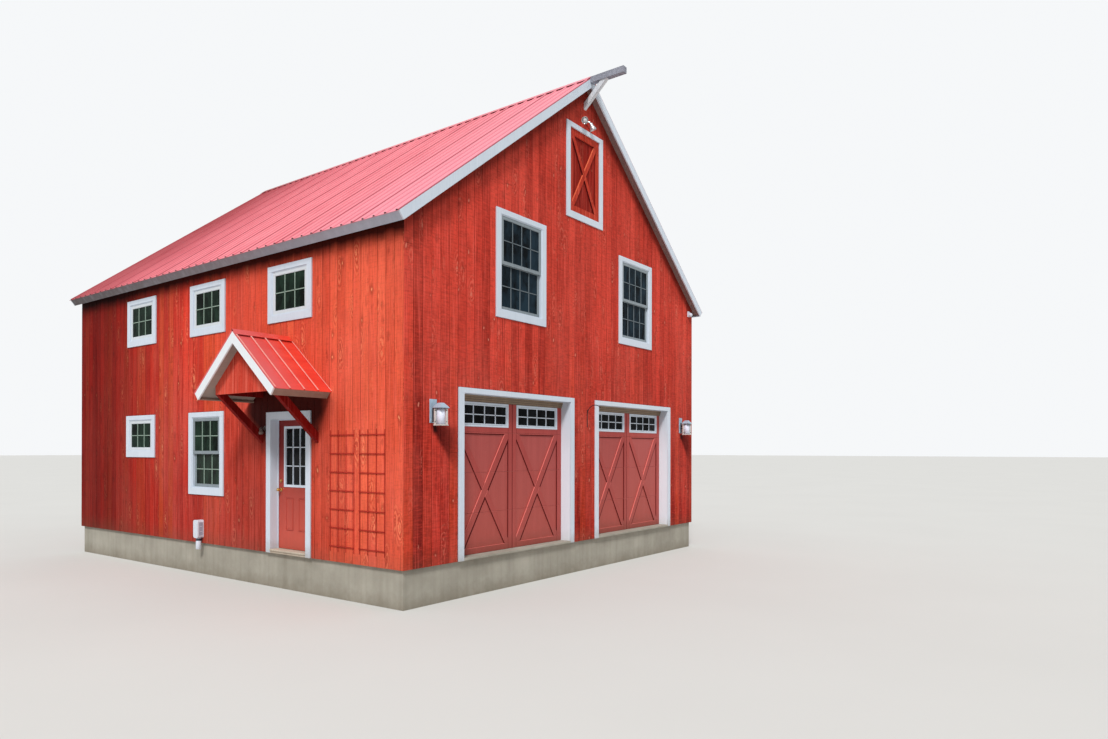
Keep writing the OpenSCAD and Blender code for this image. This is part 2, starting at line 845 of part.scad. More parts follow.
// The leaf has two raised panels, each inside a cut groove.
module side_door() {
  panel_w = 190;
  panel_h = 520;
  panel_x = 165;
  panel_z = 354;
  groove = 14;
  groove_depth = 6;
  color(door_red)
    left_side()
      translate([door_u, 0, 0])
        difference() {
          block([-door_leaf_w / 2, door_setback, door_leaf_z],
            [door_leaf_w / 2, door_back, door_leaf_z + door_leaf_h]);
          door_window_hole();
          for (s = [-1, 1], y = [door_setback - groove_depth, door_back - groove_depth])
            ring([s * panel_x - panel_w / 2, y, panel_z],
              [s * panel_x + panel_w / 2, y + 2 * groove_depth, panel_z + panel_h], groove, groove, groove);
        }
}

module side_door_window_frame() {
  color(trim_white)
    left_side()
      translate([door_u, 0, 0])
        ring([-door_win_w / 2, door_setback - door_win_proud, door_win_z],
          [door_win_w / 2, door_back + door_win_proud, door_win_z + door_win_h],
          door_win_frame, door_win_frame, door_win_frame);
}

module side_door_glass() {
  middle = door_setback + door_t / 2;
  color("slategray")
    left_side()
      translate([door_u, 0, 0])
        block([-door_win_w / 2 + door_win_frame, middle - glass_t / 2, door_win_z + door_win_frame],
          [door_win_w / 2 - door_win_frame, middle + glass_t / 2, door_win_z + door_win_h - door_win_frame]);
}

// A knob on its rose, standing out along z.
module knob() {
  cylinder(h = 8, r = knob_d * 0.58);
  cylinder(h = 40, r = knob_d * 0.2);
  translate([0, 0, 36 + knob_d * 0.4])
    intersection() {
      sphere(d = knob_d);
      cube([knob_d, knob_d, knob_d * 0.8], center = true);
    }
}

module lock_face() {
  cylinder(h = 12, r = knob_d / 2);
  cylinder(h = 20, r = knob_d * 0.22);
}

module side_door_hardware() {
  color("goldenrod")
    left_side()
      translate([door_u + door_leaf_w / 2 - backset, 0, knob_z]) {
        translate([0, door_setback, 0]) rotate([90, 0, 0]) knob();
        translate([0, door_back, 0]) rotate([-90, 0, 0]) knob();
        translate([0, door_setback, lock_rise]) rotate([90, 0, 0]) lock_face();
        translate([0, door_back, lock_rise]) rotate([-90, 0, 0]) lock_face();
      }
}

// The three hinges, each in a frame with z up the pin, x along the wall and y into the building.
module each_hinge() {
  left_side()
    for (f = [0.12, 0.5, 0.88])
      translate([door_u - door_w / 2 + door_gap / 2, door_back + hinge_r, door_leaf_z + f * door_leaf_h - hinge_h / 2])
        children();
}

module hinge_plate(x, low, high) {
  reach = hinge_r + hinge_clearance;
  plate_t = (door_gap - 1) / 2;
  block([x, -hinge_plate_w, 0], [x + plate_t, -reach, hinge_h]);
  for (i = [0:len(low) - 1])
    block([x, -reach - 1, low[i]], [x + plate_t, 0, high[i]]);
}

module side_door_hinge_pins() {
  third = hinge_h / 3;
  color("goldenrod")
    each_hinge() {
      cylinder(h = hinge_h, r = hinge_pin_r);
      cylinder(h = third, r = hinge_r);
      translate([0, 0, 2 * third]) cylinder(h = third, r = hinge_r);
      hinge_plate(-door_gap / 2, [0, 2 * third], [third, hinge_h]);
    }
}

module side_door_hinge_leaves() {
  third = hinge_h / 3;
  low = third + hinge_clearance;
  high = 2 * third - hinge_clearance;
  color("goldenrod")
    each_hinge()
      difference() {
        union() {
          translate([0, 0, low]) cylinder(h = high - low, r = hinge_r);
          hinge_plate(0.5, [low], [high]);
        }
        translate([0, 0, low - 1]) cylinder(h = high - low + 2, r = hinge_pin_r + hinge_clearance);
      }
}

module window_casings() {
  color(trim_white) {
    front_side() casing(loft_opening);
    front_side() for (w = gable_windows) lined_casing(w);
    left_side() for (w = left_windows) lined_casing(w);
    right_side() for (w = right_windows) lined_casing(w);
    back_side() for (w = back_windows) lined_casing(w);
  }
}

module window_sashes() {
  color(trim_white) {
    front_side() for (w = gable_windows) sashes(w);
    left_side() for (w = left_windows) sashes(w);
    right_side() for (w = right_windows) sashes(w);
    back_side() for (w = back_windows) sashes(w);
  }
}

module front_wall_glass() {
  color("slategray") front_side() panes(gable_windows);
}

module left_wall_glass() {
  color("slategray") left_side() panes(left_windows);
}

module right_wall_glass() {
  color("slategray") right_side() panes(right_windows);
}

module back_wall_glass() {
  color("slategray") back_side() panes(back_windows);
}

// A point of the hood's right slope, and the outline of a layer on it.
function hood_point(s, n) = [s * hood_cos + n * sin(hood_pitch), hood_peak_z - s * sin(hood_pitch) + n * hood_cos];
function hood_ridge(n) = hood_point(-n * hood_tan, n);
function hood_layer(s1, n0, n1) = [hood_ridge(n0), hood_point(s1, n0), hood_point(s1, n1), hood_ridge(n1)];
function hood_under(x) = hood_peak_z - hood_deck_t / hood_cos - slope_clearance - x * hood_tan;

// Both slopes of the hood, in the frame of the left wall.
module on_hood() {
  left_side()
    translate([door_u, 0, 0])
      for (m = [0, 1])
        mirror([m, 0, 0])
          children();
}

module hood_deck() {
  color(timber_grey)
    on_hood()
      along_y(-hood_reach + roof_board_t, 0)
        polygon(hood_layer(hood_slope_l - roof_board_t - slope_clearance, 0, -hood_deck_t));
}

// A sheet with a standing seam at each joint.
module hood_sheet() {
  pitch = (hood_reach - hood_seam_w) / hood_sheets;
  low = slope_clearance;
  flat = low + hood_sheet_t;
  top = low + hood_seam_h;
  seams = [for (i = [0:hood_sheets]) each [
    [-hood_reach + i * pitch, flat], [-hood_reach + i * pitch, top],
    [-hood_reach + i * pitch + hood_seam_w, top], [-hood_reach + i * pitch + hood_seam_w, flat]]];
  color(roof_red)
    on_hood()
      translate([0, 0, hood_peak_z])
        rotate([0, hood_pitch, 0])
          along_x(ridge_gap, hood_slope_l + sheet_lip)
            polygon(concat([[-hood_reach, low]], seams, [[0, low]]));
}

module hood_ridge_cap() {
  n0 = hood_seam_h + 2 * slope_clearance;
  color(roof_red)
    on_hood()
      along_y(-hood_reach, 0)
        polygon(hood_layer(hood_cap_wing, n0, n0 + ridge_cap_t));
}

module hood_gable_panel() {
  y = -hood_reach + hood_gable_setback;
  color(siding_red)
    on_hood()
      along_y(y, y + hood_gable_t)
        polygon([[0, hood_gable_z], [hood_gable_half_w, hood_gable_z],
          [hood_gable_half_w, hood_under(hood_gable_half_w)], [0, hood_under(0)]]);
}

module hood_boards() {
  color(trim_white)
    on_hood() {
      along_y(-hood_reach, -hood_reach + roof_board_t)
        polygon(hood_layer(hood_slope_l, 0, -hood_board_h));
      translate([0, 0, hood_peak_z])
        rotate([0, hood_pitch, 0])
          block([hood_slope_l - roof_board_t, -hood_reach + roof_board_t, -hood_board_h], [hood_slope_l, 0, 0]);
    }
}

// Each bracket is an arm under the deck and a brace from the arm's end to the wall.
module hood_braces() {
  reach = hood_reach - hood_gable_setback;
  rise = hood_gable_z - hood_brace_z;
  color(siding_red)
    on_hood() {
      along_x(hood_gable_half_w - hood_brace_w, hood_gable_half_w)
        polygon([[0, hood_brace_z], [0, hood_brace_z + hood_brace_h],
          [-reach + hood_brace_h * reach / rise, hood_gable_z], [-reach, hood_gable_z]]);
      block([hood_gable_half_w - hood_brace_w, -reach + hood_gable_t, hood_gable_z],
        [hood_gable_half_w, 0, hood_under(hood_gable_half_w)]);
    }
}

// A low hipped cap of half width w, with a flat top of half width t.
module hip_cap(w, t, rise) {
  intersection() {
    along_y(-w, w) polygon([[-w, 0], [w, 0], [t, rise], [-t, rise]]);
    along_x(-w, w) polygon([[-w, 0], [w, 0], [t, rise], [-t, rise]]);
  }
}

// A wall lantern: back plate, arm, and a glazed body with corner posts, a hipped cap and a base.
module lantern() {
  w = lantern_w / 2;
  plate_t = 20;
  base_t = 14;
  body_z = -25;
  body_top = lantern_plate_h * 0.6;
  post = 12;
  glass = 5;
  block([-w, -plate_t, 0], [w, 0, lantern_plate_h]);
  block([-16, -lantern_reach + w - glass - 1, body_top - 60], [16, -plate_t, body_top - 25]);
  translate([0, -lantern_reach, 0]) {
    block([-w - 6, -w - 6, body_z - base_t], [w + 6, w + 6, body_z]);
    block([-w + glass, -w + glass, body_z], [w - glass, w - glass, body_top]);
    for (x = [-w, w - post], y = [-w, w - post])
      block([x, y, body_z], [x + post, y + post, body_top]);
    translate([0, 0, body_top]) hip_cap(w + 10, 22, 46);
    translate([0, 0, body_top + 46]) cylinder(h = 16, r = 9);
  }
}

module garage_lanterns() {
  color(lamp_grey)
    front_side()
      for (s = [-1, 1])
        translate([s * (half_w - lantern_u), 0, lantern_z])
          lantern();
}

// A lamp on a wall disc, with a glass jar under a short arm.
module porch_lamp() {
  reach = 80;
  color(lamp_grey)
    left_side()
      translate([door_u + porch_lamp_u, 0, porch_lamp_z]) {
        translate([0, 0, 40]) rotate([90, 0, 0]) cylinder(h = 14, r = 42);
        translate([0, 0, 40]) rotate([90, 0, 0]) cylinder(h = reach, r = 9);
        translate([0, -reach, -10]) cylinder(h = 62, r = 24);
        translate([0, -reach, -26]) sphere(r = 38);
      }
}

module floodlight_head() {
  cylinder(h = 70, r = 32);
  translate([0, 0, 55]) cylinder(h = 75, r1 = 36, r2 = 61);
}

// A wall disc with two arms, and a lamp head on each arm, the right one turned further down.
module floodlights() {
  disc_t = 30;
  turn = 32;
  down = [14, 52];
  color(trim_white)
    front_side()
      translate([0, 0, floodlight_z]) {
        rotate([90, 0, 0]) cylinder(h = disc_t, r = 55);
        for (s = [-1, 1])
          translate([0, -disc_t / 2, 0])
            rotate([0, 0, -90 + s * (90 - turn)])
              rotate([0, 104, 0]) {
                cylinder(h = floodlight_arm, r = 14);
                translate([0, 0, floodlight_arm]) rotate([0, down[(s + 1) / 2], 0]) floodlight_head();
              }
      }
}

module corner_lamp() {
  color(trim_white)
    front_side()
      translate([half_w - corner_lamp_u, 0, corner_lamp_z]) {
        block([-45, -30, -60], [45, 0, 60]);
        translate([0, -62, -20]) sphere(r = 45);
      }
}

// A flat bar on the wall with a rod that arches out from it.
module plant_hook() {
  strip = 320;
  rod_r = 7;
  color("dimgray")
    front_side()
      translate([hook_x, 0, hook_z]) {
        block([-12, -8, 0], [12, 0, strip]);
        translate([0, -hook_r, strip - hook_r / 2])
          rotate([90, 0, 90])
            rotate_extrude(angle = 135)
              translate([hook_r - rod_r, 0])
                circle(r = rod_r);
      }
}

// A square with round corners, centred.
module rounded_square(w, h, r) {
  square([w - 2 * r, h], center = true);
  square([w, h - 2 * r], center = true);
  for (x = [-1, 1], y = [-1, 1])
    translate([x * (w / 2 - r), y * (h / 2 - r)]) circle(r = r);
}

module utility_box() {
  color(trim_white)
    left_side()
      translate([box_u, 0, box_z]) {
        translate([0, 0, box_h / 2])
          along_y(-box_d, 0)
            rounded_square(box_w, box_h, 30);
        translate([0, -box_d / 2, -stub_l]) cylinder(h = stub_l, r = stub_r);
      }
}

module trellis_panel() {
  h = trellis_top_z - trellis_z;
  for (i = [0:3])
    block([i * (trellis_w - trellis_bar_w) / 3, -trellis_bar_t, 0],
      [i * (trellis_w - trellis_bar_w) / 3 + trellis_bar_w, 0, h]);
  for (j = [0:6])
    block([0, -2 * trellis_bar_t, 70 + j * (h - 150) / 6],
      [trellis_w, -trellis_bar_t, 70 + j * (h - 150) / 6 + trellis_bar_w]);
}

module trellis_panels() {
  color(siding_red)
    left_side()
      for (i = [0, 1])
        translate([trellis_u + i * (trellis_w + trellis_gap), 0, trellis_z])
          trellis_panel();
}

foundation_wall();
floor_slab();
upper_floor();
loft_floor();
left_wall_front();
left_wall_rear();
left_wall_over_door();
right_wall();
front_pier_left();
front_pier_middle();
front_pier_right();
front_gable_wall();
back_wall();
left_roof_deck();
right_roof_deck();
left_roof_sheet();
right_roof_sheet();
ridge_cap();
rake_boards();
eave_boards();
hoist_beam();
hoist_beam_brace();
left_garage_door();
right_garage_door();
garage_window_frames();
garage_door_glass();
garage_door_casings();
loft_door();
side_door_casing();
side_door();
side_door_window_frame();
side_door_glass();
side_door_hardware();
side_door_hinge_pins();
side_door_hinge_leaves();
window_casings();
window_sashes();
front_wall_glass();
left_wall_glass();
right_wall_glass();
back_wall_glass();
hood_deck();
hood_sheet();
hood_ridge_cap();
hood_gable_panel();
hood_boards();
hood_braces();
garage_lanterns();
porch_lamp();
floodlights();
corner_lamp();
plant_hook();
utility_box();
trellis_panels();
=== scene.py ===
"""Two-storey red barn with two overhead garage doors, a loft door, a ribbed roof and a side entry under a hood."""
import functools
import math

import bmesh
import bpy
from mathutils import Matrix, Vector


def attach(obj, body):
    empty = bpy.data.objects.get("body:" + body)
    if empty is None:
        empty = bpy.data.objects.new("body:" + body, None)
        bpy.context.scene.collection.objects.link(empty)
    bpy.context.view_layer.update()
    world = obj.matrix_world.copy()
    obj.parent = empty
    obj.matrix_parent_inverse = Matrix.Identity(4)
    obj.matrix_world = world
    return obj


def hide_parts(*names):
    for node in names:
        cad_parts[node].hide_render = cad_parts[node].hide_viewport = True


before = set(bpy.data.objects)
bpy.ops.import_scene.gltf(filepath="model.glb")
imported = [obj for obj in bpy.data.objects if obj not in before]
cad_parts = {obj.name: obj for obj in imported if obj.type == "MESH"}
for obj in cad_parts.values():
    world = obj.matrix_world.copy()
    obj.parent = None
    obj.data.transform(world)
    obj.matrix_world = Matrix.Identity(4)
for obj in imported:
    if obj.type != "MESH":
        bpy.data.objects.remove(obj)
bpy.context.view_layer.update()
scene = bpy.context.scene

# Sizes in metres, as the construction has them. A name in _U is a place along a side wall. SLIT and HAIR are left
# between parts that meet. DOOR_WINDOW and DOOR_PANEL hold the height of their middle above the siding's bottom, their
# width and their height.
HALF_W = 4.345
FRONT_Y = -0.14
BACK_Y = 9.86
WALL_T = 0.19
BASE_Z = 0.55
EAVE_H = 4.815
PITCH = math.radians(37.9)
DECK_T = 0.112
GABLE_PEAK = EAVE_H + HALF_W * math.tan(PITCH)
PEAK_Z = BASE_Z + GABLE_PEAK + DECK_T / math.cos(PITCH)
ROOF_Y0 = FRONT_Y - 0.157
ROOF_Y1 = BACK_Y + 0.04
SLOPE_L = (HALF_W + 0.218) / math.cos(PITCH)
SHEET_LIP = 0.02
RIB_PITCH = 0.229
RIB_START = ROOF_Y0 + 0.025
BOARD = 0.1754
BOARD_T = 0.006
JOINT = 0.006
SLIT = 0.0004
HAIR = 0.0002
CASING_T = 0.025
SIDE_CASING = 0.112
HEAD_CASING = 0.085
SILL_CASING = 0.118
LINER_T = 0.018
SASH_W = 0.048
SASH_T = 0.035
SASH_Y = -0.009
BEAD = 0.006
BEAD_T = 0.009
GLASS_T = 0.006
GLASS_SETBACK = 0.011
GARAGE_X = 1.812
GARAGE_W = 2.72
GARAGE_H = 2.475
GARAGE_HEAD = 0.08
LANTERN_X, LANTERN_Z = HALF_W - 0.55, 2.012
FLOOD_DROP = 0.595
DOOR_U = 2.59
DOOR_W = 0.915
DOOR_H = 2.11
DOOR_CASING = 0.116
DOOR_FACE = 0.133
DOOR_BACK = 0.177
DOOR_WINDOW = (1.522, 0.544, 0.884)
DOOR_PANEL_X = 0.165
DOOR_PANEL = (0.614, 0.184, 0.514)
PORCH_LAMP_U, PORCH_LAMP_Z = DOOR_U + 0.625, 1.934
UTILITY_U, UTILITY_Z = 5.14, 0.095
HOOD_PITCH = math.radians(39.8)
HOOD_H = 3.35
HOOD_REACH = 0.94
HOOD_SLOPE_L = 1.035 / math.cos(HOOD_PITCH)
HOOD_BOARD_H, HOOD_BOARD_T = 0.13, 0.025

# The frame of each wall: x runs along it, y goes into it from the siding's face, z is up from the siding's bottom.
WALLS = {
    "front": Matrix(((1, 0, 0, 0), (0, 1, 0, FRONT_Y), (0, 0, 1, BASE_Z), (0, 0, 0, 1))),
    "back": Matrix(((-1, 0, 0, 0), (0, -1, 0, BACK_Y), (0, 0, 1, BASE_Z), (0, 0, 0, 1))),
    "left": Matrix(((0, 1, 0, -HALF_W), (1, 0, 0, FRONT_Y), (0, 0, 1, BASE_Z), (0, 0, 0, 1))),
    "right": Matrix(((0, -1, 0, HALF_W), (1, 0, 0, FRONT_Y), (0, 0, 1, BASE_Z), (0, 0, 0, 1))),
}

# Each window: place along the wall, sill height, width, height, number of sashes, panes across and up in a sash.
GABLE_WINDOWS = [(s * 1.815, 3.823, 1.054, 1.503, 2, 4, 2) for s in (-1, 1)]
SIDE_WINDOWS = [(u, 3.749, 0.906, 0.694, 1, 3, 2) for u in (2.565, 4.955, 7.33)]
SIDE_WINDOWS += [(4.995, 0.96, 0.906, 1.241, 2, 3, 2), (7.37, 1.601, 0.906, 0.6, 1, 3, 2)]
BACK_WINDOWS = [(s * 1.815, 0.96, 0.906, 1.241, 2, 3, 2) for s in (-1, 1)] + [(0, 5.865, 0.906, 0.694, 1, 3, 2)]
WINDOWS = {
    "front": GABLE_WINDOWS,
    "left": SIDE_WINDOWS,
    "right": SIDE_WINDOWS + [(2.59, 1.601, 0.906, 0.6, 1, 3, 2)],
    "back": GABLE_WINDOWS + BACK_WINDOWS,
}
LOFT_DOOR = (0, 5.865, 0.936, 1.485)


# Colours and nodes

def colour(red, green, blue):
    """A colour as a screen shows it, from 0 to 255, as shader values."""
    values = [c / 255 for c in (red, green, blue)]
    return (*(c / 12.92 if c <= 0.04045 else ((c + 0.055) / 1.055) ** 2.4 for c in values), 1.0)


def add_node(kind, inputs, **settings):
    """A node in the tree of the sockets that lead to it, with its other inputs set to values."""
    tree = next(value.id_data for value in inputs.values() if isinstance(value, bpy.types.NodeSocket))
    made = tree.nodes.new(kind)
    for key, value in settings.items():
        setattr(made, key, value)
    for key, value in inputs.items():
        if isinstance(value, bpy.types.NodeSocket):
            tree.links.new(value, made.inputs[key])
        else:
            made.inputs[key].default_value = value
    return made.outputs


def maths(operation, *values):
    return add_node("ShaderNodeMath", dict(enumerate(values)), operation=operation)[0]


def add(*values):
    return functools.reduce(lambda a, b: maths("ADD", a, b), values)


def mul(*values):
    return functools.reduce(lambda a, b: maths("MULTIPLY", a, b), values)


def sub(a, b):
    return maths("SUBTRACT", a, b)


def div(a, b):
    return maths("DIVIDE", a, b)


def gap(a, b):
    """How far one value is from another, either way."""
    return maths("ABSOLUTE", sub(a, b))


def ramp(value, low, high, to_low=0.0, to_high=1.0):
    """Value, stretched from low..high to to_low..to_high and clamped there."""
    return add_node("ShaderNodeMapRange", {0: value, 1: low, 2: high, 3: to_low, 4: to_high})[0]


def near(value, low, high, strength=1.0):
    """Strength where the value is under low, and nothing where it is over high."""
    return ramp(value, low, high, strength, 0)


def mix(factor, a, b, how="MIX"):
    """b over a. A colour with three values is one that a screen shows."""
    a, b = (colour(*c) if isinstance(c, tuple) and len(c) == 3 else c for c in (a, b))
    return add_node("ShaderNodeMix", {0: factor, 6: a, 7: b}, data_type="RGBA", blend_type=how)[2]


def coated(tint, coats):
    """The tint under coats of (mask, strength, colour)."""
    for mask, strength, coat in coats:
        tint = mix(mul(mask, strength), tint, coat)
    return tint


def noise(vector, scale, detail=3.0, roughness=0.55):
    inputs = {"Vector": vector, "Scale": scale, "Detail": detail, "Roughness": roughness}
    return add_node("ShaderNodeTexNoise", inputs)[0]


def stretched(vector, scale, location=(0, 0, 0)):
    return add_node("ShaderNodeMapping", {"Vector": vector, "Location": location, "Scale": scale})[0]


def streaks_of(vector, scale, detail=3.0, roughness=0.55, location=(0, 0, 0)):
    """Noise that is drawn out along its axes."""
    return noise(stretched(vector, scale, location), 1.0, detail, roughness)


def vector_of(*values):
    return add_node("ShaderNodeCombineXYZ", dict(enumerate(values)))[0]


def axes(vector):
    """The x, y and z of a vector."""
    return tuple(add_node("ShaderNodeSeparateXYZ", {0: vector}))


def new_tree(name, kind, inputs):
    """A node tree and its named inputs, from their defaults or, where they have none, from their kinds."""
    tree = bpy.data.node_groups.new(name, kind)
    for socket, value in inputs.items():
        socket_kind = value if isinstance(value, str) else "Int" if isinstance(value, int) else "Float"
        made = tree.interface.new_socket(name=socket, in_out="INPUT", socket_type="NodeSocket" + socket_kind)
        if socket_kind != value:
            made.default_value = value
    return tree, tree.nodes.new("NodeGroupInput").outputs


def close_tree(tree, kind, outputs):
    """The tree with its named outputs, {name: socket}."""
    for socket in outputs:
        tree.interface.new_socket(name=socket, in_out="OUTPUT", socket_type="NodeSocket" + kind)
    out = tree.nodes.new("NodeGroupOutput").inputs
    for socket, value in outputs.items():
        tree.links.new(value, out[socket])
    return tree


def board_marks_group():
    """What differs from board to board, and what runs along one. The vector's x runs across the boards and z along."""
    group, given = new_tree("board marks", "ShaderNodeTree", {
        "Vector": "Vector", "Board Width": 0.175, "Start": 0.0, "Seed": 0.0})
    x, y, z = axes(given["Vector"])
    width = given["Board Width"]
    across = div(sub(x, given["Start"]), width)
    inside = maths("FRACT", across)
    edge = mul(maths("MINIMUM", inside, sub(1.0, inside)), width)
    pick = add(maths("FLOOR", across), given["Seed"])
    chance = add_node("ShaderNodeTexWhiteNoise", {"W": pick}, noise_dimensions="1D")["Color"]
    tone, level, split = add_node("ShaderNodeSeparateColor", {0: chance})
    place = vector_of(x, y, maths("MULTIPLY_ADD", tone, 37.0, z))
    grain = streaks_of(place, (42, 42, 1.1), 5.0, 0.62)
    wander = streaks_of(place, (7, 7, 5), 3.0, 0.6)

    def cells(scale, push, channel, low):
        """Distance from the nearest of scattered points, and a mask of the cells that are chosen by chance."""
        bent = add_node("ShaderNodeVectorMath", {0: stretched(place, scale), 1: push}, operation="ADD")[0]
        found = add_node("ShaderNodeTexVoronoi", {"Vector": bent, "Scale": 1.0})
        lot = add_node("ShaderNodeSeparateColor", {0: found["Color"]})[channel]
        return found["Distance"], ramp(lot, low, low + 0.02)

    small, chosen = cells((9, 9, 4.5), wander, 0, 0.84)
    large, picked = cells((4.2, 4.2, 1.4), stretched(wander, (0.5, 0.5, 0.5)), 1, 0.62)
    rings = maths("SINE", maths("MULTIPLY_ADD", large, 52.0, mul(grain, 5.0)))
    reach = mul(picked, near(large, 0.1, 0.46))
    joint = gap(z, maths("MULTIPLY_ADD", level, 7.0, 0.6))
    open_joint = mul(ramp(streaks_of(place, (2, 2, 1.3), 2.0), 0.36, 0.62, 0.25, 1.0),
                     maths("MULTIPLY_ADD", level, 0.65, 0.35))
    lip = gap(mul(inside, width), 0.017)
    worn = ramp(streaks_of(place, (1, 1, 1.7), 2.0, location=(4, 0, 8)), 0.46, 0.6)
    row = gap(maths("FRACT", div(z, 0.61)), 0.5)
    return close_tree(group, "Float", {
        "Tone": tone, "Warmth": ramp(split, 0.5, 0.95), "Grain": grain,
        "Fibres": streaks_of(place, (190, 190, 5), 2.0, 0.6),
        "Cracks": ramp(streaks_of(place, (95, 95, 1.5), 2.0, location=(3, 0, 5)), 0.62, 0.72),
        "Pale Streaks": ramp(streaks_of(place, (62, 62, 0.8), location=(9, 0, 2)), 0.53, 0.68),
        "Knots": maths("MAXIMUM", mul(chosen, near(small, 0.07, 0.16)), mul(picked, near(large, 0.03, 0.07))),
        "Halos": mul(chosen, near(small, 0.15, 0.5)),
        "Flames": mul(reach, ramp(rings, 0.3, 0.9)),
        "Flame Shadows": mul(reach, ramp(rings, -0.3, -0.9)),
        "Edges": mul(near(edge, 0.003, 0.012), open_joint),
        "Worn Edges": mul(worn, near(lip, 0.002, 0.007)),
        "Butt Joints": mul(near(joint, 0.003, 0.006), ramp(split, 0.8, 0.81)),
        "Saw Marks": streaks_of(place, (9, 9, 44), 2.0, 0.6),
        "Nails": mul(near(gap(edge, 0.03), 0.003, 0.005), near(row, 0.006, 0.009))})


def weather_group():
    """Broad blotches, rain streaks, dirt that fades with height, and painted shade under the roof's overhang."""
    group, given = new_tree("weather", "ShaderNodeTree", {
        "Vector": "Vector", "Dirt Level": 0.55, "Dirt Height": 0.3})
    place = given["Vector"]
    x, y, z = axes(place)
    below = sub(BASE_Z + GABLE_PEAK, add(z, mul(maths("ABSOLUTE", x), math.tan(PITCH))))
    uneven = add(below, mul(streaks_of(place, (5, 5, 1)), 0.12))
    streaks = streaks_of(place, (9, 9, 0.35))
    patches = ramp(streaks_of(place, (0.9, 0.9, 0.5), location=(5, 2, 9)), 0.42, 0.62)
    low = div(sub(z, given["Dirt Level"]), given["Dirt Height"])
    return close_tree(group, "Float", {
        "Blotches": ramp(noise(place, 0.9, 4.0, 0.6), 0.35, 0.65), "Streaks": ramp(streaks, 0.45, 0.75),
        "Bleached": mul(patches, ramp(streaks, 0.35, 0.6, 0.35, 1.0), ramp(z, 2.6, 5.2, 1.0, 0.35)),
        "Dirt": near(add(low, mul(noise(place, 7.0, 5.0, 0.7), 1.2)), 0.5, 1.5),
        "Shelter": add(near(uneven, 0.21, 0.34, 0.66), near(uneven, 0.25, 0.66, 0.34))})


BOARD_MARKS = board_marks_group()
WEATHER = weather_group()


def new_material(name):
    """A material, its shader and its Object coordinates."""
    made = bpy.data.materials.new(name)
    made.use_nodes = True
    nodes = made.node_tree.nodes
    return made, nodes["Principled BSDF"], nodes.new("ShaderNodeTexCoord").outputs["Object"]


def use_group(group, vector, **values):
    """A shader group's outputs, over a vector and values for its other inputs."""
    made = vector.id_data.nodes.new("ShaderNodeGroup")
    made.node_tree = group
    vector.id_data.links.new(vector, made.inputs["Vector"])
    for key, value in values.items():
        made.inputs[key.replace("_", " ")].default_value = value
    return made.outputs


def turned(place, across):
    """The place with x running across the boards and z along them. across is x, y, z or slope."""
    apart = axes(place)
    return vector_of(*(apart[i] for i in {"x": (0, 1, 2), "y": (1, 0, 2), "z": (2, 1, 0), "slope": (1, 2, 0)}[across]))


def dress(shader, tint, roughness, height, distance, strength=1.0, **values):
    """Wires the shader's colour, roughness and bump, and sets its other inputs."""
    bumped = add_node("ShaderNodeBump", {"Height": height, "Distance": distance, "Strength": strength})[0]
    for name, value in (("Base Color", tint), ("Roughness", roughness), ("Normal", bumped)):
        shader.id_data.links.new(value, shader.inputs[name])
    for key, value in values.items():
        shader.inputs[key.replace("_", " ")].default_value = value


def scaled(tint, factor, lift=0.0):
    return tuple(min(255, max(0, c * factor + lift)) for c in tint)


def hood_shade(tint, place, streaks, hood):
    """Painted shade: the dark of the wall under the side door's hood, and softer shade round it and low on the wall.
    """
    x, y, z = axes(place)
    farther = gap(y, DOOR_U + FRONT_Y + 0.1)
    broad = mul(near(gap(y, 2.45), 0.5, 1.6), near(z, 2.7, 3.3), ramp(streaks, 0.2, 0.9, 1.0, 0.6))
    tint = mix(mul(broad, 0.8), tint, (0.6, 0.42, 0.42, 1), "MULTIPLY")
    low = mul(ramp(gap(y, 4.5), 1.1, 2.6, 1.0, 0.15), ramp(y, 2.5, 3.0), near(z, 1.5, 3.6))
    tint = mix(low, tint, (0.68, 0.72, 0.86, 1), "MULTIPLY")
    # The darkest part, just under the hood's roof line, is painted shadow of the hood.
    under = add(mul(gap(y, DOOR_U + FRONT_Y), math.tan(HOOD_PITCH)), z)
    depth = ramp(sub(z, maths("MULTIPLY_ADD", farther, 0.75, 1.75)), -0.12, 0.32)
    hood_shadow = mul(near(under, BASE_Z + HOOD_H - 0.1, BASE_Z + HOOD_H - 0.04), depth, near(farther, 0.9, 1.3))
    return mix(mul(hood_shadow, hood), tint, (52, 5, 4))


def lantern_shadow(tint, place, strength):
    """Painted shadow beside and behind the lanterns, darkest at their foot."""
    x, y, z = axes(place)
    beside = sub(x, mul(maths("SIGN", x), LANTERN_X))
    down = sub(BASE_Z + 1.96, z)
    inside = sub(beside, maths("MULTIPLY_ADD", down, 0.75, -0.055))
    cast_shadow = mul(ramp(inside, 0, 0.07), near(inside, 0.08, 0.7), ramp(down, -0.06, 0), near(down, 0.04, 0.72))
    contact_shadow = mul(near(gap(beside, 0.035), 0.01, 0.06), ramp(down, -0.03, 0), near(down, 0.06, 0.13))
    return coated(tint, [(cast_shadow, strength, (66, 3, 6)), (contact_shadow, strength, (14, 4, 4))])


